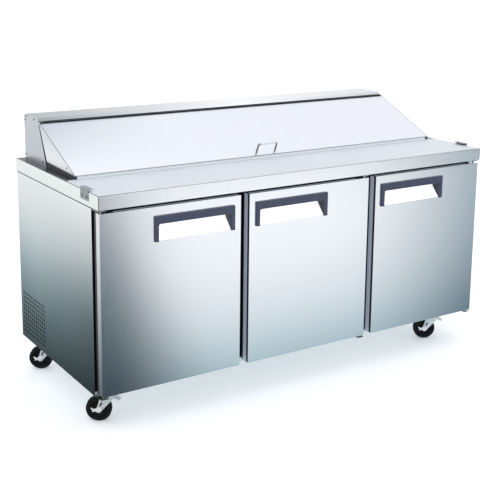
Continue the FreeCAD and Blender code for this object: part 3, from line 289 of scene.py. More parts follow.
def lid_sheet():
    """The lid's sheet: brushed along its length, with painted shade greying it a little towards its upper left
    corner.
    """
    look = Look("lid_sheet", LID_STEEL, 0.3, 1.0)
    scratches = look.scratch("x", 0.04)
    to_left = look.span(look.position("x"), 1.0, 0.0, (-0.95, -0.35))
    upwards = look.span(look.position("z"), 0.0, 1.0, (0.93, 1.06))
    fine = look.ramp(scratches, ((0.25, scaled(LID_STEEL, 0.985)), (0.75, scaled(LID_STEEL, 1.06))))
    # painted shade: greyer towards the upper left corner
    shade = look.calculate("MULTIPLY", to_left, upwards)
    look.link(look.mix(shade, fine, (0.58, 0.62, 0.66)), "Base Color")
    return look.material


def glowing_pale_strip():
    """Plain pale plastic that glows as painted light, so it stays as light as the board beside it in the lid's
    shade.
    """
    look = Look("glowing_collar_face", (0.66, 0.70, 0.725), 0.5,
                Emission_Color=(0.9, 0.95, 1, 1), Emission_Strength=0.22)
    look.vary_colour(look.noise(30), 0.02)
    look.relief(look.noise(500), 0.00005, 0.3)
    return look.material


def side_sheet():
    """The left outer panel: brushed, with painted shade darkening it low down towards its front edge."""
    look = Look("side_sheet", STEEL, 0.22, 1.0)
    scratches = look.scratch("z")
    towards_front = look.span(look.position("y"), 1.0, 0.0, (-0.336, 0.20))
    painted_shade_low = look.span(look.position("z"), 1.0, 0.0, (0.40, 0.84))
    fine = look.ramp(scratches, ((0.25, scaled(STEEL, 0.975)), (0.75, STEEL)))
    # painted shade: darker low down and towards the front
    shade = look.calculate("MULTIPLY", towards_front, painted_shade_low)
    look.link(look.mix(shade, fine, scaled(STEEL, 0.44)), "Base Color")
    return look.material


def hood_sheet():
    """The hood's cover: brushed along its length, with painted shade greying it towards its ends."""
    look = Look("hood_sheet", (0.80, 0.82, 0.83), 0.3, 1.0)
    half_length = 0.884
    along = look.span(look.position("x"), 0.0, 1.0, (-half_length, half_length))
    # painted shade: darkest at the left end, lighter mid-length
    tone = look.ramp(along, ((0.0, (0.32, 0.345, 0.355)), (0.55, (0.87, 0.89, 0.89)),
                             (1.0, (0.68, 0.70, 0.71))))
    streaks = look.ramp(look.scratch("x", 0.04), ((0.25, (0.96, 0.96, 0.96)), (0.75, (1.0, 1.0, 1.0))))
    look.link(look.mix(1.0, tone, streaks, "MULTIPLY"), "Base Color")
    return look.material


def handle_steel():
    """The lid's handle: round polished bar whose two legs carry a painted reflection of the dark below."""
    low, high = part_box("lid_handle")
    middle, half = (low.x + high.x)/2, (high.x - low.x)/2
    look = Look("handle_steel", (0.80, 0.81, 0.82), 0.2, 1.0)
    from_middle = look.calculate("ABSOLUTE", look.calculate("ADD", look.position("x"), -middle))
    # painted reflection: the legs are coloured dark
    legs = look.span(from_middle, 0.0, 1.0, (half - 16*MM, half - 7*MM))
    streaks = look.ramp(look.noise(400), ((0.3, (0.78, 0.79, 0.80)), (0.7, (0.84, 0.85, 0.86))))
    look.link(look.mix(legs, streaks, (0.24, 0.25, 0.26)), "Base Color")
    look.vary_roughness(look.noise(260), 0.04)
    look.relief(look.noise(500), 0.00005, 0.2)
    return look.material


def foam_look():
    look = Look("foam_cells", (0.10, 0.11, 0.12), 0.85)
    cells = look.add("ShaderNodeTexVoronoi", {"Vector": look.coordinates, "Scale": 600.0}).outputs[0]
    look.vary_colour(look.noise(80), 0.15)
    look.relief(cells, 0.0003, 0.6)
    return look.material


def rubber_look(name, colour, roughness=0.6, shine=0.25):
    look = Look(name, colour, roughness, Specular_IOR_Level=shine)
    look.vary_colour(look.noise(70), 0.25)
    look.vary_roughness(look.noise(160), 0.08)
    look.relief(look.noise(900), 0.00015, 0.5)
    return look.material


def shade_topped_worktop():
    """The worktop's sheet; its flat top beside the hood is painted nearly black as shade, its fascia light."""
    look = Look("worktop_steel", WORKTOP_STEEL, 0.24, 1.0)
    scratches = look.noise(900, GRAIN["x"], 4)
    facing = look.component(look.add("ShaderNodeNewGeometry").outputs["Normal"], "z")
    flat = look.span(facing, 0.0, 1.0, (0.6, 0.9))
    sheet = look.ramp(scratches, ((0.25, scaled(WORKTOP_STEEL, 0.965)), (0.75, WORKTOP_STEEL)))
    # painted shade: faces turned upwards are coloured nearly black
    look.link(look.mix(flat, sheet, (0.022, 0.026, 0.031)), "Base Color")
    look.link(look.span(flat, 1.0, 0.15), "Metallic")
    look.link(look.span(flat, 0.5, 0.15), "Specular IOR Level")
    look.vary_roughness(scratches, 0.05)
    look.relief(scratches, 0.00004, 0.35)
    return look.material


def paint(obj, material):
    obj.data.materials.clear()
    obj.data.materials.append(material)


def make_materials():
    """One material for each slot of the record, more for the drawn pieces, and own ones for some nodes."""
    made = {
        "stainless": brushed("steel_upright", STEEL, "z"),
        "liner_aluminium": stucco_aluminium(),
        "galvanised": cast_speckle("zinc_plate", (0.80, 0.83, 0.85), 0.34, 0.45),
        "polished_steel": polished("polished_steel"),
        "foam": foam_look(),
        "cutting_board": board_plastic(),
        "handle_plastic": moulded("handle_plastic", (0.034, 0.045, 0.086), 0.42),
        "black_plastic": moulded("black_plastic", (0.022, 0.023, 0.027), 0.45),
        "gasket_rubber": rubber_look("gasket_rubber", (0.014, 0.015, 0.018)),
        "tyre": rubber_look("tyre_rubber", (0.009, 0.009, 0.011), 0.55, 0.12),
        "coil_fins": cast_speckle("coil_fins", (0.74, 0.75, 0.77), 0.4, 1.0),
        "copper": polished("drawn_copper", (0.80, 0.46, 0.32), 0.26),
        # black coat for the condenser coil: painted shade that makes the air holes in front of it read dark
        "black_enamel": moulded("black_enamel", (0.018, 0.018, 0.020), 0.25, 300, 0.00005),
        "coated_wire": moulded("coated_wire", (0.78, 0.80, 0.82), 0.35, 500, 0.00006, 0.04),
        "glowing_scoop_white": glowing_scoop_white(),
        "edge_satin": edge_satin(),
        "glowing_gap_edge": glowing_edge_grey(),
        "glowing_collar_face": glowing_pale_strip(),
        # painted shade: near-black for strips laid where shade falls in gaps, seams, slots and holes
        "painted_shade_line": rubber_look("painted_shade_line", (0.022, 0.025, 0.029), 0.8, 0.1),
        # a darker copy of the handle's navy plastic for the pocket's ends: painted shade
        "shaded_pocket_cheek": moulded("shaded_pocket_cheek", (0.010, 0.013, 0.024), 0.5),
        "dark_screw": polished("dark_screw", (0.16, 0.17, 0.19), 0.3),
        # dark steel for the lid's hem: painted shade under the lid's edge
        "shaded_hem_steel": brushed("shaded_hem_steel", (0.26, 0.29, 0.32), "x", 0.4),
        "zinc_bright": cast_speckle("zinc_bright", (0.92, 0.94, 0.95), 0.3, 0.3),
        "pan_steel": brushed("pan_steel", (0.80, 0.81, 0.82), "z", 0.2),
    }
    special = {
        "worktop": shade_topped_worktop(),
        "left_side_panel": side_sheet(),
        "hood_cover": hood_sheet(),
        # stainless face frame coloured nearly black: painted shade in the gaps round the doors
        "door_frame": brushed("face_frame_shade_steel", (0.055, 0.065, 0.08), "z", 0.35),
        "door_hinge_brackets": polished("hinge_steel", (0.42, 0.44, 0.46), 0.25),
        # a darker copy of the hood's steel: painted shade on its ends
        "hood_end_panels": brushed("hood_end_shade_steel", (0.56, 0.59, 0.62), "z", 0.34),
        "lid_shell": lid_sheet(),
        "lid_handle": handle_steel(),
        "board_clips": brushed("clip_steel", (0.30, 0.32, 0.34), "x", 0.3),
        "pan_rails": brushed("steel_along", STEEL, "x"),
        "worktop_core": made["black_plastic"],
        "food_pans": made["pan_steel"],
        "casing_screws": made["dark_screw"],
        # the coil is black so the vent holes read dark: painted shade
        "condenser_coil": made["black_enamel"],
    }
    for name, obj in NODES.items():
        paint(obj, special.get(name, made[SLOT_OF[name]]))
    return made


LOOKS = make_materials()


def soften(name, width):
    """A small rounding on a CAD node's sharp edges."""
    rounding = NODES[name].modifiers.new("rounding", "BEVEL")
    rounding.width = width
    rounding.segments = 2
    rounding.limit_method = "ANGLE"
    rounding.angle_limit = math.radians(50)
    rounding.harden_normals = True


for door in DOORS:
    soften(f"{door}_handle", 1.2*MM)


# ---------------------------------------------------------------- mesh helpers

def piece(name, build, look, body, smooth=True):
    """A new mesh made by build(bm), painted with one of LOOKS and riding on a CAD body."""
    mesh = bpy.data.meshes.new(name)
    bm = bmesh.new()
    build(bm)
    bmesh.ops.recalc_face_normals(bm, faces=bm.faces)
    bm.to_mesh(mesh)
    bm.free()
    obj = bpy.data.objects.new(name, mesh)
    bpy.context.scene.collection.objects.link(obj)
    paint(obj, LOOKS[look])
    if smooth:
        mesh.shade_smooth()
        mesh.set_sharp_from_angle(angle=math.radians(35))
    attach(obj, body)
    return obj


def angles(count):
    """Even steps round a full turn."""
    return [2*math.pi*i/count for i in range(count)]


def slab(bm, low, high):
    """A box between two corners."""
    corners = [bm.verts.new((x, y, z)) for x in (low[0], high[0])
               for y in (low[1], high[1]) for z in (low[2], high[2])]
    for face in ((0, 1, 3, 2), (4, 6, 7, 5), (0, 4, 5, 1), (2, 3, 7, 6), (0, 2, 6, 4), (1, 5, 7, 3)):
        bm.faces.new([corners[i] for i in face])


def loft(bm, loops, caps=True, closed=False):
    """Joins loops of equal length with quads. When closed, the last loop meets the first one."""
    rings = [[bm.verts.new(point) for point in loop] for loop in loops]
    following = rings[1:] + rings[:1] if closed else rings[1:]
    for near, far in zip(rings, following):
        for i in range(len(near)):
            after = (i + 1) % len(near)
            bm.faces.new((near[i], near[after], far[after], far[i]))
    if caps and not closed:
        bm.faces.new(rings[0][::-1])
        bm.faces.new(rings[-1])


def frame_of(axis):
    """The unit vector along an axis and two across it."""
    axis = Vector(axis).normalized()
    guide = UP if abs(axis.z) < 0.9 else Vector((1, 0, 0))
    across = axis.cross(guide).normalized()
    return axis, across, axis.cross(across)


def turned(bm, centre, axis, profile, sides=32, caps=True, closed=False):
    """A solid of revolution: profile is (distance along the axis, radius) pairs."""
    axis, across, upward = frame_of(axis)
    loops = []
    for along, radius in profile:
        origin = Vector(centre) + axis*along
        loops.append([origin + (across*math.cos(t) + upward*math.sin(t))*radius for t in angles(sides)])
    loft(bm, loops, caps, closed)


def band(bm, centre, axis, radius, proud, width, sides=48):
    """A low flat-topped ridge round a cylinder."""
    profile = ((-width/2, radius), (-width/3, radius + proud), (width/3, radius + proud), (width/2, radius))
    turned(bm, centre, axis, profile, sides, caps=False)


def torus(bm, centre, axis, radius, wire, sides=48, around=8):
    """A ring of round wire."""
    axis, across, upward = frame_of(axis)
    rings = []
    for turn in angles(sides):
        ray = across*math.cos(turn) + upward*math.sin(turn)
        rings.append([centre + ray*(radius + wire*math.cos(t)) + axis*wire*math.sin(t)
                      for t in angles(around)])
    loft(bm, rings, closed=True)


def rod(bm, start, end, radius, sides=10):
    turned(bm, start, end - start, [(0, radius), ((end - start).length, radius)], sides)


def dome(bm, place, axis, radius, height):
    """A pan-head screw with a cross recess hinted by a dimple."""
    profile = [(0, radius), (height*0.45, radius*0.96), (height*0.85, radius*0.72), (height, radius*0.42),
               (height*0.55, radius*0.28), (height*0.5, 0.05*MM)]
    turned(bm, place, axis, profile, 20)


def hexagon(bm, place, axis, across_flats, height):
    corner = across_flats*0.577
    turned(bm, place, axis, [(0, corner), (height*0.85, corner), (height, across_flats*0.5)], 6)


def extrude_x(bm, outline, low_x, high_x):
    """A (y, z) outline drawn out along X."""
    loft(bm, [[Vector((x, y, z)) for y, z in outline] for x in (low_x, high_x)])


def thicken(bm, outline, offset):
    """A flat outline given a thickness."""
    loft(bm, [outline, [point + offset for point in outline]])


def rounded_rectangle(half_a, half_b, radius, steps=6):
    """Points (a, b) around a rectangle with rounded corners."""
    points = []
    for corner, (sign_a, sign_b) in enumerate(((1, 1), (-1, 1), (-1, -1), (1, -1))):
        for i in range(steps + 1):
            angle = math.pi/2*(corner + i/steps)
            points.append((sign_a*(half_a - radius) + radius*math.cos(angle),
                           sign_b*(half_b - radius) + radius*math.sin(angle)))
    return points


def bend_point(before, corner, after, share, radius=9*MM):
    """A point of the smooth bend between two straight runs, as a quadratic curve."""
    before, corner, after = Vector(before), Vector(corner), Vector(after)
    start = corner + (before - corner).normalized()*radius
    end = corner + (after - corner).normalized()*radius
    place = start*(1 - share)**2 + corner*2*share*(1 - share) + end*share**2
    return place.x, place.y


# ---------------------------------------------------------------- doors

POCKET_LEG, POCKET_FLOOR, POCKET_DEPTH, POCKET_RISE, POCKET_CEILING = 14*MM, 2*MM, 42*MM, 46*MM, 8*MM
CHEEK, SCOOP_WALL = 1.6*MM, 0.5*MM
SEAL_WIDTH = 16*MM


def finger_pocket(door):
    """White lining that glows as painted light, and ends painted darker than the handle as painted shade, in the
    pocket under the handle.
    """
    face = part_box(f"{door}_skin")[0].y
    trim_low, trim_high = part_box(f"{door}_handle")
    low_x, high_x = trim_low.x + POCKET_LEG + CHEEK, trim_high.x - POCKET_LEG - CHEEK
    floor_z, ceiling_z = trim_low.z + POCKET_FLOOR, trim_high.z - POCKET_CEILING
    rear = face + POCKET_DEPTH - 2*MM

    def scoop(bm):
        """Thin lining over the ramp and the rear wall."""
        foot = (face + 0.1*MM, floor_z + 1.3*MM)
        bend = (rear, floor_z + POCKET_RISE + 0.9*MM)
        top = (rear, ceiling_z - 0.6*MM)
        front = [foot, *(bend_point(foot, bend, top, i/6) for i in range(7)), top]
        back = [(y + SCOOP_WALL, z - SCOOP_WALL*0.6) for y, z in reversed(front)]
        extrude_x(bm, front + back, low_x, high_x)

    # the lining glows: painted light against the shade under the handle
    piece(f"{door}_scoop", scoop, "glowing_scoop_white", door)

    # dark plates on the pocket's ends: painted shade over the handle's inner faces
    def cheeks(bm):
        mouth = face + 0.3*MM
        outline = [(mouth, floor_z + 2.2*MM), (rear, floor_z + POCKET_RISE + 2.2*MM),
                   (rear, ceiling_z - 0.5*MM), (mouth, ceiling_z - 0.5*MM)]
        for x, inward in ((low_x, 1), (high_x, -1)):
            extrude_x(bm, outline, *sorted((x - inward*0.05*MM, x + inward*0.3*MM)))

    piece(f"{door}_pocket_cheeks", cheeks, "shaded_pocket_cheek", door)


def door_edges(door):
    """Folded strips on the upright edges and the top of a door."""
    low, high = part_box(f"{door}_skin")
    sunk, proud, hinge_end, free_end = 1.15*MM, 0.35*MM, 60*MM, 3*MM

    def strip(name, side, first, last, look):
        """A strip on one upright edge, between two depths behind the door's face."""
        x, outward = (low.x, -1) if side == "left" else (high.x, 1)
        near, far = sorted((x - outward*sunk, x + outward*proud))
        start, end = (near, low.y + first, low.z + 2*MM), (far, low.y + last, high.z - 2*MM)
        piece(name, lambda bm: slab(bm, start, end), look, door)

    for side in ("left", "right"):
        if door == f"{side}_door":
            strip(f"{door}_{side}_edge", side, 1.5*MM, 29.5*MM, "edge_satin")
        else:
            # beside another door: a grey strip deep in the gap that glows as painted light
            strip(f"{door}_{side}_edge", side, 13*MM, 37*MM, "glowing_gap_edge")
            # and a near-black strip of painted shade next to the door's face
            strip(f"{door}_{side}_edge_shade_line", side, 1.5*MM, 13*MM, "painted_shade_line")

    def top_edge(bm):
        left_end, right_end = (hinge_end, free_end) if door == "left_door" else (free_end, hinge_end)
        slab(bm, (low.x + left_end, low.y + 10*MM, high.z - 1.1*MM),
             (high.x - right_end, low.y + 20*MM, high.z + proud))

    # the top strip glows as painted light too
    piece(f"{door}_top_edge", top_edge, "glowing_gap_edge", door)


def door_inside(door):
    """Seal and formed panel on the inner side of a door."""
    low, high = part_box(f"{door}_gasket")
    centre, half = (low + high)/2, (high - low)/2
    depth = high.y - low.y

    def around(half_x, y, half_z, radius, steps):
        ring = rounded_rectangle(half_x, half_z, radius, steps)
        return [Vector((centre.x + a, y, centre.z + b)) for a, b in ring]

    def bellows(bm):
        """Soft seal: a wide foot, two folds and a magnet bead that meets the cabinet."""
        outer = [(1.0, 0.0), (1.0, 0.14), (0.80, 0.26), (0.98, 0.44), (0.98, 0.60), (0.84, 0.72),
                 (0.95, 0.80), (0.95, 0.96), (0.80, 1.0)]
        inner = [(0.20, 1.0), (0.05, 0.96), (0.05, 0.80), (0.16, 0.72), (0.02, 0.60), (0.02, 0.44),
                 (0.20, 0.26), (0.0, 0.14)]
        loops = []
        for inward, outward in [(0.0, 0.0), *outer, *inner]:
            inset = inward*SEAL_WIDTH
            radius = max(0.5*MM, 3*MM - inset*0.1)
            loops.append(around(half.x - inset, low.y + outward*depth, half.z - inset, radius, 3))
        loft(bm, loops, closed=True)

    seal = piece(f"{door}_bellows", bellows, "gasket_rubber", door)
    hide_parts(f"{door}_gasket")

    liner_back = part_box(f"{door}_liner")[1].y

    def inner_panel(bm):
        """Shallow formed panel inside the seal, with a raised border."""
        margin = SEAL_WIDTH + 8*MM
        rise = ((0, 0.0), (2.5, 2.6), (5, 4.2), (14, 4.6), (20, 3.4), (26, 1.6))
        loft(bm, [around(half.x - margin - inset*MM, liner_back + (proud + 0.05)*MM,
                         half.z - margin - inset*MM, (24 - inset*0.5)*MM, 6) for inset, proud in rise])

    piece(f"{door}_inner_panel", inner_panel, "liner_aluminium", door)

    def beads(bm):
        """Half-round stiffening beads pressed across the panel."""
        length = half.x*0.72
        for share in (-0.5, 0.0, 0.5):
            z = centre.z + share*half.z
            outline = [(liner_back + (1.4 + 3*math.sin(t))*MM, z + 9*math.cos(t)*MM)
                       for t in (math.pi*i/8 for i in range(9))]
            extrude_x(bm, outline, centre.x - length, centre.x + length)

    piece(f"{door}_panel_beads", beads, "liner_aluminium", door)


# ---------------------------------------------------------------- hood, lid and board

def lid_details():
    shell_low, shell_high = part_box("lid_shell")
    hinge = Vector(JOINTS["lid_hinge"]["pos_m"])

    def lip_shade_strip(bm):
        """Dark strip of painted shade under the hood's lip, behind the lid's upper edge."""
        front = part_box("hood_lining")[0].y
        thick, height, clear_of_ears = 0.6*MM, 12*MM, 5*MM
        top = hinge.z + 3*MM
        outline = [(front - 0.1*MM, top), (front - 0.1*MM, top - height),
                   (front - thick, top + 1*MM - height), (front - thick, top - 1*MM)]
        extrude_x(bm, outline, shell_low.x + clear_of_ears, shell_high.x - clear_of_ears)

    piece("lip_shade_strip", lip_shade_strip, "painted_shade_line", "cabinet")

    reach, drop, edge = 346*MM, 151.6*MM, 6.5*MM
    length, slope = math.hypot(reach, drop), math.atan2(drop, reach)
    down = Vector((0, -math.cos(slope), -math.sin(slope)))
    out = Vector((0, -math.sin(slope), math.cos(slope)))
    top, bottom = hinge + down*edge, hinge + down*length

    def at(x, point):
        return Vector((x, point.y, point.z))

    def seams(bm):
        """Dark lines of painted shade where the cheeks meet the sloped sheet."""
        for x, inward in ((shell_low.x, 1), (shell_high.x, -1)):
            near, far = x + inward*0.6*MM, x + inward*2.4*MM
            ends = []
            for point in (top + down*2*MM, bottom - down*2*MM):
                base, raised = point - out*0.5*MM, point + out*0.22*MM
                ends.append([at(near, base), at(far, base), at(far, raised), at(near, raised)])
            loft(bm, ends)

    piece("lid_seam_shade", seams, "painted_shade_line", "lid")

    def hem(bm):
        """Rolled hem along the lid's lower edge, painted dark as shade under the lid."""
        section = [bottom + down*(1.6*math.cos(t) - 1.2)*MM + out*(1.5*math.sin(t) - 1.3)*MM
                   for t in angles(12)]
        loft(bm, [[at(x, point) for point in section]
                  for x in (shell_low.x + 1.5*MM, shell_high.x - 1.5*MM)])

    piece("lid_hem", hem, "shaded_hem_steel", "lid")

    def cheek_screws(bm):
        place = top.lerp(bottom, 0.80) - out*13*MM
        for x, outward in ((shell_low.x, -1), (shell_high.x, 1)):
            dome(bm, at(x - 0.05*MM*outward, place), (outward, 0, 0), 3.8*MM, 1.8*MM)

    piece("lid_cheek_screws", cheek_screws, "dark_screw", "lid")

    def handle_feet(bm):
        low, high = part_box("lid_handle")
        foot = top + down*(length - edge - 16*MM)
        for x in (low.x + 4*MM, high.x - 4*MM):
            turned(bm, at(x, foot), out, [(0.02*MM, 7*MM), (1.2*MM, 6.6*MM), (1.8*MM, 4.3*MM)], 24)

    piece("lid_handle_feet", handle_feet, "polished_steel", "lid")


def worktop_details():
    low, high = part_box("worktop")
    board_low, board_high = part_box("cutting_board")
    level = high.z

    def board_gap_shade(bm):
        """Dark strip of painted shade round the board's front and ends, where the gap to the worktop is."""
        gap, width = 0.1*MM, 2.2*MM
        bottom, top, front = level - 1*MM, level + 0.35*MM, board_low.y - gap
        slab(bm, (board_low.x - gap - width, front - width, bottom),
             (board_high.x + gap + width, front, top))
        for x in (board_low.x - gap - width, board_high.x + gap):
            slab(bm, (x, front, bottom), (x + width, board_high.y - 26*MM, top))

    piece("board_gap_shade", board_gap_shade, "painted_shade_line", "cabinet")

    def glowing_collar_face(bm):
        """Pale angle strip, glowing as painted light: up the front of the lid's seat and forward to the board."""
        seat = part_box("pan_collar")[0]
        end_gap, foot = 13*MM, board_high.y + 0.2*MM
        rear, front = seat.y - 0.02*MM, seat.y - 0.5*MM
        outline = [(foot, level + 0.05*MM), (rear, level + 0.05*MM), (rear, level + 12.4*MM),
                   (front, level + 11.9*MM), (front, level + 0.6*MM), (foot, level + 0.6*MM)]
        extrude_x(bm, outline, seat.x + end_gap, -seat.x - end_gap)

    piece("glowing_collar_face", glowing_collar_face, "glowing_collar_face", "cabinet")

    def corner_shade_lines(bm):
        """Corners of the folded fascia, each given a fine dark line of painted shade."""
        for x, inward in ((low.x, 1), (high.x, -1)):
            for y, outward in ((low.y, -1), (high.y, 1)):
                near, far = sorted((x - inward*0.15*MM, x + inward*2.2*MM))
                front, back = sorted((y + outward*0.2*MM, y - outward*0.5*MM))
                slab(bm, (near, front, low.z + 0.5*MM), (far, back, level - 1.5*MM))

    piece("fascia_corner_shade_lines", corner_shade_lines, "painted_shade_line", "cabinet")


def pan_details():
    """Deep-drawn pans: rolled rim, rounded corners, a step under the rim and a rounded bottom."""
    low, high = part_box("food_pans")
    count, rim_x, rim_y, pitch, gauge = 9, 88*MM, 162.5*MM, 192*MM, 0.9
    middle_y = (low.y + high.y)/2
    # inset from the rim's edge, height over the rim and corner radius, in millimetres
    outside = ((0.0, -3.0, 12), (0.0, -0.8, 12), (0.8, 0.0, 12), (7.0, 0.0, 14), (8.6, -1.4, 15),
               (9.0, -4.0, 16), (9.6, -12.0, 16), (11.2, -13.5, 17), (14.5, -85.0, 22),
               (17.0, -93.0, 24), (24.0, -97.0, 26))
    inside = [(inset + gauge, lift - gauge, radius - 0.8) for inset, lift, radius in reversed(outside)]

    def pans(bm):
        for i in range(count):
            centre_x = (i - (count - 1)/2)*pitch
            loops = []
            for inset, lift, radius in (*inside, *outside):
                points = rounded_rectangle(rim_x - inset*MM, rim_y - inset*MM, radius*MM, 5)
                loops.append([Vector((centre_x + a, middle_y + b, high.z + lift*MM)) for a, b in points])
            loft(bm, loops)

    drawn = piece("food_pans_drawn", pans, "pan_steel", "cabinet")
    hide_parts("food_pans")


def vent_hole_shade():
    """Pressed rims round the air holes of the left panel, painted dark as shade so the holes read dark."""
    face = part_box("left_side_panel")[0].x
    columns, rows = 11, 10
    first_y, first_z, pitch_y, pitch_z = 145*MM, 162*MM, 22*MM, 18.4*MM

    def rims(bm):
        for column in range(columns):
            for row in range(rows):
                centre = Vector((face, first_y + pitch_y*column, first_z + pitch_z*row))
                band(bm, centre, (-1, 0, 0), 4.0*MM, 1.5*MM, 1.0*MM, 20)

    piece("vent_hole_shade", rims, "painted_shade_line", "cabinet")


# ---------------------------------------------------------------- back and inside

def back_details():
    """Louvre hoods over the rear slots and sheet screws along the panel's edges."""
    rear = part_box("back_panel")[1].y

    def louvres(bm):
        section = ((0.02, 7), (2.2, 4), (3.6, -3.4), (2.9, -3.4), (1.6, 3), (0.02, 5.6))
        left, right = -882*MM, -698*MM
        for i in range(8):
            z = (174 + 18*i)*MM
            extrude_x(bm, [(rear + out*MM, z + rise*MM) for out, rise in section], left, right)

    piece("louvre_hoods", louvres, "stainless", "cabinet")

    def back_screws(bm):
        edge_x, bottom_z, top_z = 905, 142, 828
        places = [(x, z) for x in (-edge_x, -600, -300, 0, 300, 600, edge_x) for z in (bottom_z, top_z)]
        places += [(x, z) for x in (-edge_x, edge_x) for z in (310, 480, 650)]
        for x, z in places:
            dome(bm, (x*MM, rear + 0.02*MM, z*MM), (0, 1, 0), 4*MM, 2*MM)

    piece("back_screws", back_screws, "polished_steel", "cabinet")


def fan_guard():
    """Wire guard in front of the evaporator's fan: rings with spokes behind them."""
    rings_at = Vector((0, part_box("evaporator_cover")[0].y - 3*MM, 650*MM))
    spokes_at = rings_at + Vector((0, 1.6*MM, 0))

    def guard(bm):
        for radius in (18, 30, 42, 54, 66, 76):
            torus(bm, rings_at, (0, 1, 0), radius*MM, 1.1*MM)
        for turn in angles(6):
            ray = Vector((math.cos(turn + math.pi/6), 0, math.sin(turn + math.pi/6)))
            rod(bm, spokes_at + ray*17*MM, spokes_at + ray*80*MM, 1.2*MM)

    piece("fan_guard", guard, "polished_steel", "cabinet")


# ---------------------------------------------------------------- casters

WHEEL_FACE, LEG_FACE, NUT_FACE = 9*MM, 19.7*MM, 21.5*MM


def caster_details(corner):
    swivel = Vector(JOINTS[f"{corner}_swivel"]["pos_m"])
    spin = JOINTS[f"{corner}_wheel_spin"]
    hub, axle = Vector(spin["pos_m"]), Vector(spin["axis"]).normalized()
    forward = Vector((axle.y, -axle.x, 0))
    fork, roller, pedal = f"{corner}_fork", f"{corner}_roller", f"{corner}_pedal"
    sides = (axle, -axle)

    def axle_nuts(bm):
        """A washer and a nut at each end of the axle."""
        for outward in sides:
            washer = [(0, 8*MM), (0.9*MM, 8*MM), (1.0*MM, 7.4*MM)]
            turned(bm, hub + outward*NUT_FACE, outward, washer, 28)
            hexagon(bm, hub + outward*(NUT_FACE + 1*MM), outward, 11.5*MM, 4.2*MM)

    piece(f"{corner}_axle_nuts", axle_nuts, "zinc_bright", fork, smooth=False)

    def race_ring(bm):
        """Rolled ring of the swivel bearing, on top of the fork."""
        inner, outer, height = 26*MM, 30*MM, 4.6*MM
        seat_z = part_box(f"{corner}_caster_fork")[1].z - 5.4*MM
        profile = [(0, outer - 2*MM), (1.2*MM, outer), (3.4*MM, outer), (height, outer - 2*MM),
                   (height, inner), (0, inner)]
        turned(bm, (swivel.x, swivel.y, seat_z), UP, profile, 40, closed=True)

    piece(f"{corner}_race_ring", race_ring, "zinc_bright", fork)

    def hub_rings(bm):
        """Stepped rings moulded on both faces of the wheel, with a ribbed web."""
        inner = [(0, 17.5*MM), (3.2*MM, 17*MM), (4.2*MM, 15.5*MM), (4.2*MM, 9*MM), (0, 9*MM)]
        outer = [(0, 31*MM), (1.5*MM, 30.4*MM), (1.5*MM, 28*MM), (0, 27.4*MM)]
        for outward in sides:
            face = hub + outward*WHEEL_FACE
            turned(bm, face, outward, inner, 40, closed=True)
            turned(bm, face, outward, outer, 48, closed=True)
            for turn in angles(6):
                ray = forward*math.cos(turn) + UP*math.sin(turn)
                cross = axle.cross(ray)
                rib = ((16.5, -1.6), (28.5, -1.2), (28.5, 1.2), (16.5, 1.6))
                thicken(bm, [face + ray*a*MM + cross*b*MM for a, b in rib], outward*1.6*MM)

    piece(f"{corner}_hub_rings", hub_rings, "tyre", roller)

    def tread(bm):
        """Three fine moulded lines round the tread."""
        for offset in (-6.5, 0, 6.5):
            band(bm, hub + axle*offset*MM, axle, 48.45*MM, 0.5*MM, 1.3*MM)

    piece(f"{corner}_tread_lands", tread, "tyre", roller)

    def brake_arm(bm):
        """Forked brake arm around the axle, on the outer face of each fork leg."""
        boss = [(11, 3), (9, 8), (3, 10.5), (-4, 10), (-9, 6.5)]
        prongs = [(-15, 3.5), (-21, 5), (-26, 9), (-29, 7.5), (-27, 2.5), (-22, -1.5), (-24, -6), (-22, -9),
                  (-17, -7)]
        underside = [(-12, -5.5), (-8, -8.5), (-2, -10.5), (5, -9.5), (10, -5)]
        for outward in sides:
            start = hub + outward*LEG_FACE
            thicken(bm, [start + forward*a*MM + UP*b*MM for a, b in boss + prongs + underside],
                    outward*1.7*MM)

    piece(f"{corner}_brake_arm", brake_arm, "zinc_bright", fork, smooth=False)

    def fork_slot_shade(bm):
        """Dark ovals of painted shade standing in for pressed slots in the fork's legs."""
        run = swivel - hub
        run.z = 0
        lean = (run*0.55 + UP*40*MM).normalized()
        cross = axle.cross(lean)
        for outward in sides:
            middle = hub + outward*(LEG_FACE - 0.1*MM) + lean*24*MM
            thicken(bm, [middle + lean*math.cos(t)*9*MM + cross*math.sin(t)*3.2*MM for t in angles(20)],
                    outward*0.4*MM)

    piece(f"{corner}_fork_slot_shade", fork_slot_shade, "painted_shade_line", fork)

    def pedal_ribs(bm):
        """Cross ribs on the brake pedal's sloping pad."""
        pad_start, pad_top, fall = 22, 102, 15/28
        for i in range(5):
            reach = 28 + 4*i
            height = pad_top - (reach - pad_start)*fall
            centre = Vector((swivel.x, swivel.y, height*MM)) + forward*reach*MM
            rib = ((-0.9, -11), (0.9, -11), (0.9, 11), (-0.9, 11))
            thicken(bm, [centre + forward*a*MM + axle*b*MM for a, b in rib], UP*1.1*MM)

    piece(f"{corner}_pedal_ribs", pedal_ribs, "zinc_bright", pedal)


# ---------------------------------------------------------------- floor, light and camera

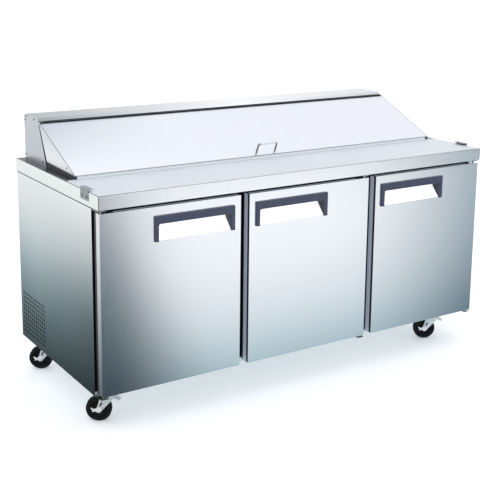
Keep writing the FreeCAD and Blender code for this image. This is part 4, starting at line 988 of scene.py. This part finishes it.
# linear tones of the reflected card, by mirrored height in metres
FRONT_TONES = ((0.12, (0.43, 0.58, 0.64)), (0.35, (0.83, 0.90, 0.94)), (0.60, (1.12, 1.13, 1.15)),
               (0.95, (1.30, 1.30, 1.32)))
SIDE_TONES = ((0.12, (0.045, 0.065, 0.068)), (0.30, (0.12, 0.18, 0.195)), (0.52, (0.36, 0.48, 0.51)),
              (0.66, (0.80, 0.85, 0.85)), (0.88, (1.02, 1.04, 1.03)))
LEFT_EDGE_TONES = ((0.15, (0.045, 0.066, 0.085)), (0.45, (0.075, 0.122, 0.15)), (0.85, (0.11, 0.165, 0.20)))
RIGHT_EDGE_TONES = ((0.15, (0.068, 0.122, 0.165)), (0.45, (0.150, 0.250, 0.315)),
                    (0.85, (0.24, 0.335, 0.40)))
# the viewer that the card is laid out for: to the left of the middle, before the doors, beside the
# left panel, and above the floor
EYE_LEFT, EYE_BEFORE, EYE_BESIDE, EYE_HEIGHT = 2.35, 3.15, 1.43, 1.713


def stage_floor():
    bpy.ops.mesh.primitive_plane_add(size=240)
    floor = bpy.context.object
    floor.name = "studio_floor"
    look = Look("studio_floor", (0.93, 0.935, 0.94), 0.9, Specular_IOR_Level=0.1,
                Emission_Color=(1, 1, 1, 1), Emission_Strength=0.24)
    look.vary_colour(look.noise(0.4), 0.004)
    paint(floor, look.material)


def card_tones(nodes):
    """The card's colour at each point, by the height and the place on the sheets that mirror it."""
    across, away = nodes.position("x"), nodes.position("y")
    front, side = CAD_BOX[0].y, CAD_BOX[1].x

    def share_of(place, face, distance):
        """How far beyond a face of the cabinet a point lies, in viewer's distances."""
        beyond = nodes.calculate("SUBTRACT", nodes.calculate("ABSOLUTE", place), face)
        return beyond, nodes.calculate("MAXIMUM", nodes.calculate("DIVIDE", beyond, distance), 0.0)

    def mirrored(share, amount):
        """A length scaled to where the sheet mirrors it."""
        return nodes.calculate("DIVIDE", amount, nodes.calculate("ADD", share, 1.0))

    def mirrored_height(share):
        return mirrored(share, nodes.calculate("MULTIPLY", share, EYE_HEIGHT))

    def band_of(along, outer, inner):
        return nodes.span(along, 0.0, 1.0, (outer, inner), "SMOOTHSTEP")

    _, share_front = share_of(away, -front, EYE_BEFORE)
    out_side, share_side = share_of(across, side, EYE_BESIDE)
    shift = nodes.calculate("MULTIPLY", share_front, EYE_LEFT)
    along = mirrored(share_front, nodes.calculate("SUBTRACT", across, shift))
    height = mirrored_height(share_front)
    front_tone = nodes.ramp(height, FRONT_TONES)
    left_width = nodes.calculate("SUBTRACT", -0.26, nodes.calculate("MULTIPLY", height, 0.62))
    tone = nodes.mix(band_of(along, -0.895, left_width), nodes.ramp(height, LEFT_EDGE_TONES), front_tone)
    tone = nodes.mix(band_of(along, 1.24, 0.12), nodes.ramp(height, RIGHT_EDGE_TONES), tone)
    side_tone = nodes.ramp(mirrored_height(share_side), SIDE_TONES)
    right_of_panel = nodes.calculate("GREATER_THAN", across, -side - 0.03)
    on_front = nodes.calculate("MULTIPLY", nodes.calculate("LESS_THAN", away, front), right_of_panel)
    on_rear = nodes.calculate("LESS_THAN", out_side, 0.0)
    return nodes.mix(on_front, nodes.mix(on_rear, side_tone, front_tone), tone)


def reflected_floor():
    """A card on the floor, seen only in reflections, that gives the upright sheets their soft gradients."""
    bpy.ops.mesh.primitive_plane_add(size=60, location=(0, 0, 0.0015))
    card = bpy.context.object
    card.name = "reflected_card"
    material = bpy.data.materials.new("reflected_card")
    material.use_nodes = True
    material.node_tree.nodes.clear()
    nodes = Nodes(material.node_tree)
    glow = nodes.add("ShaderNodeEmission", {"Color": card_tones(nodes)})
    nodes.add("ShaderNodeOutputMaterial", {"Surface": glow.outputs[0]})
    paint(card, material)
    card.visible_camera = card.visible_diffuse = card.visible_shadow = False
    card.visible_transmission = card.visible_volume_scatter = False


def sky():
    """Even pale surround, a little cooler overhead."""
    world = bpy.data.worlds.new("studio")
    bpy.context.scene.world = world
    world.use_nodes = True
    nodes = Nodes(world.node_tree, "Generated")
    tone = nodes.ramp(nodes.position("z"), ((0.0, (1.0, 1.0, 1.0)), (0.9, (0.87, 0.89, 0.95))))
    background = world.node_tree.nodes["Background"]
    world.node_tree.links.new(tone, background.inputs["Color"])
    background.inputs["Strength"].default_value = 1.1


def soft_light(name, place, target, size, power):
    data = bpy.data.lights.new(name, "AREA")
    data.shape = "RECTANGLE"
    data.size, data.size_y = size
    data.energy = power
    lamp = bpy.data.objects.new(name, data)
    bpy.context.scene.collection.objects.link(lamp)
    lamp.location = place
    lamp.rotation_mode = "QUATERNION"
    lamp.rotation_quaternion = (Vector(target) - Vector(place)).to_track_quat("-Z", "Y")
    lamp.visible_camera = False


def camera():
    azimuth, elevation, roll = (math.radians(a) for a in (CAMERA_AZIMUTH, CAMERA_ELEVATION, CAMERA_ROLL))
    level = Vector((math.sin(azimuth), -math.cos(azimuth), 0))
    back = level*math.cos(elevation) + UP*math.sin(elevation)
    right = UP.cross(back).normalized()
    up = back.cross(right)
    rolled_right = right*math.cos(roll) + up*math.sin(roll)
    rolled_up = up*math.cos(roll) - right*math.sin(roll)
    data = bpy.data.cameras.new("camera")
    data.lens = CAMERA_LENS
    data.shift_y = CAMERA_SHIFT
    data.clip_end = 500
    shot = bpy.data.objects.new("camera", data)
    bpy.context.scene.collection.objects.link(shot)
    turn = Matrix((rolled_right, rolled_up, back)).transposed().to_4x4()
    shot.matrix_world = Matrix.Translation(CAMERA_PLACE) @ turn
    bpy.context.scene.camera = shot


def studio():
    stage_floor()
    reflected_floor()
    sky()
    centre = (0, 0, 0.6)
    soft_light("key_light", (-3.2, -3.6, 4.2), centre, (3.0, 2.2), 12)
    soft_light("top_light", (0.4, -0.4, 4.6), centre, (4.0, 2.6), 10)
    camera()
    bpy.context.scene.view_settings.view_transform = "Standard"


for door in DOORS:
    finger_pocket(door)
    door_edges(door)
    door_inside(door)
lid_details()
worktop_details()
pan_details()
vent_hole_shade()
back_details()
fan_guard()
for corner in CORNERS:
    caster_details(corner)
studio()
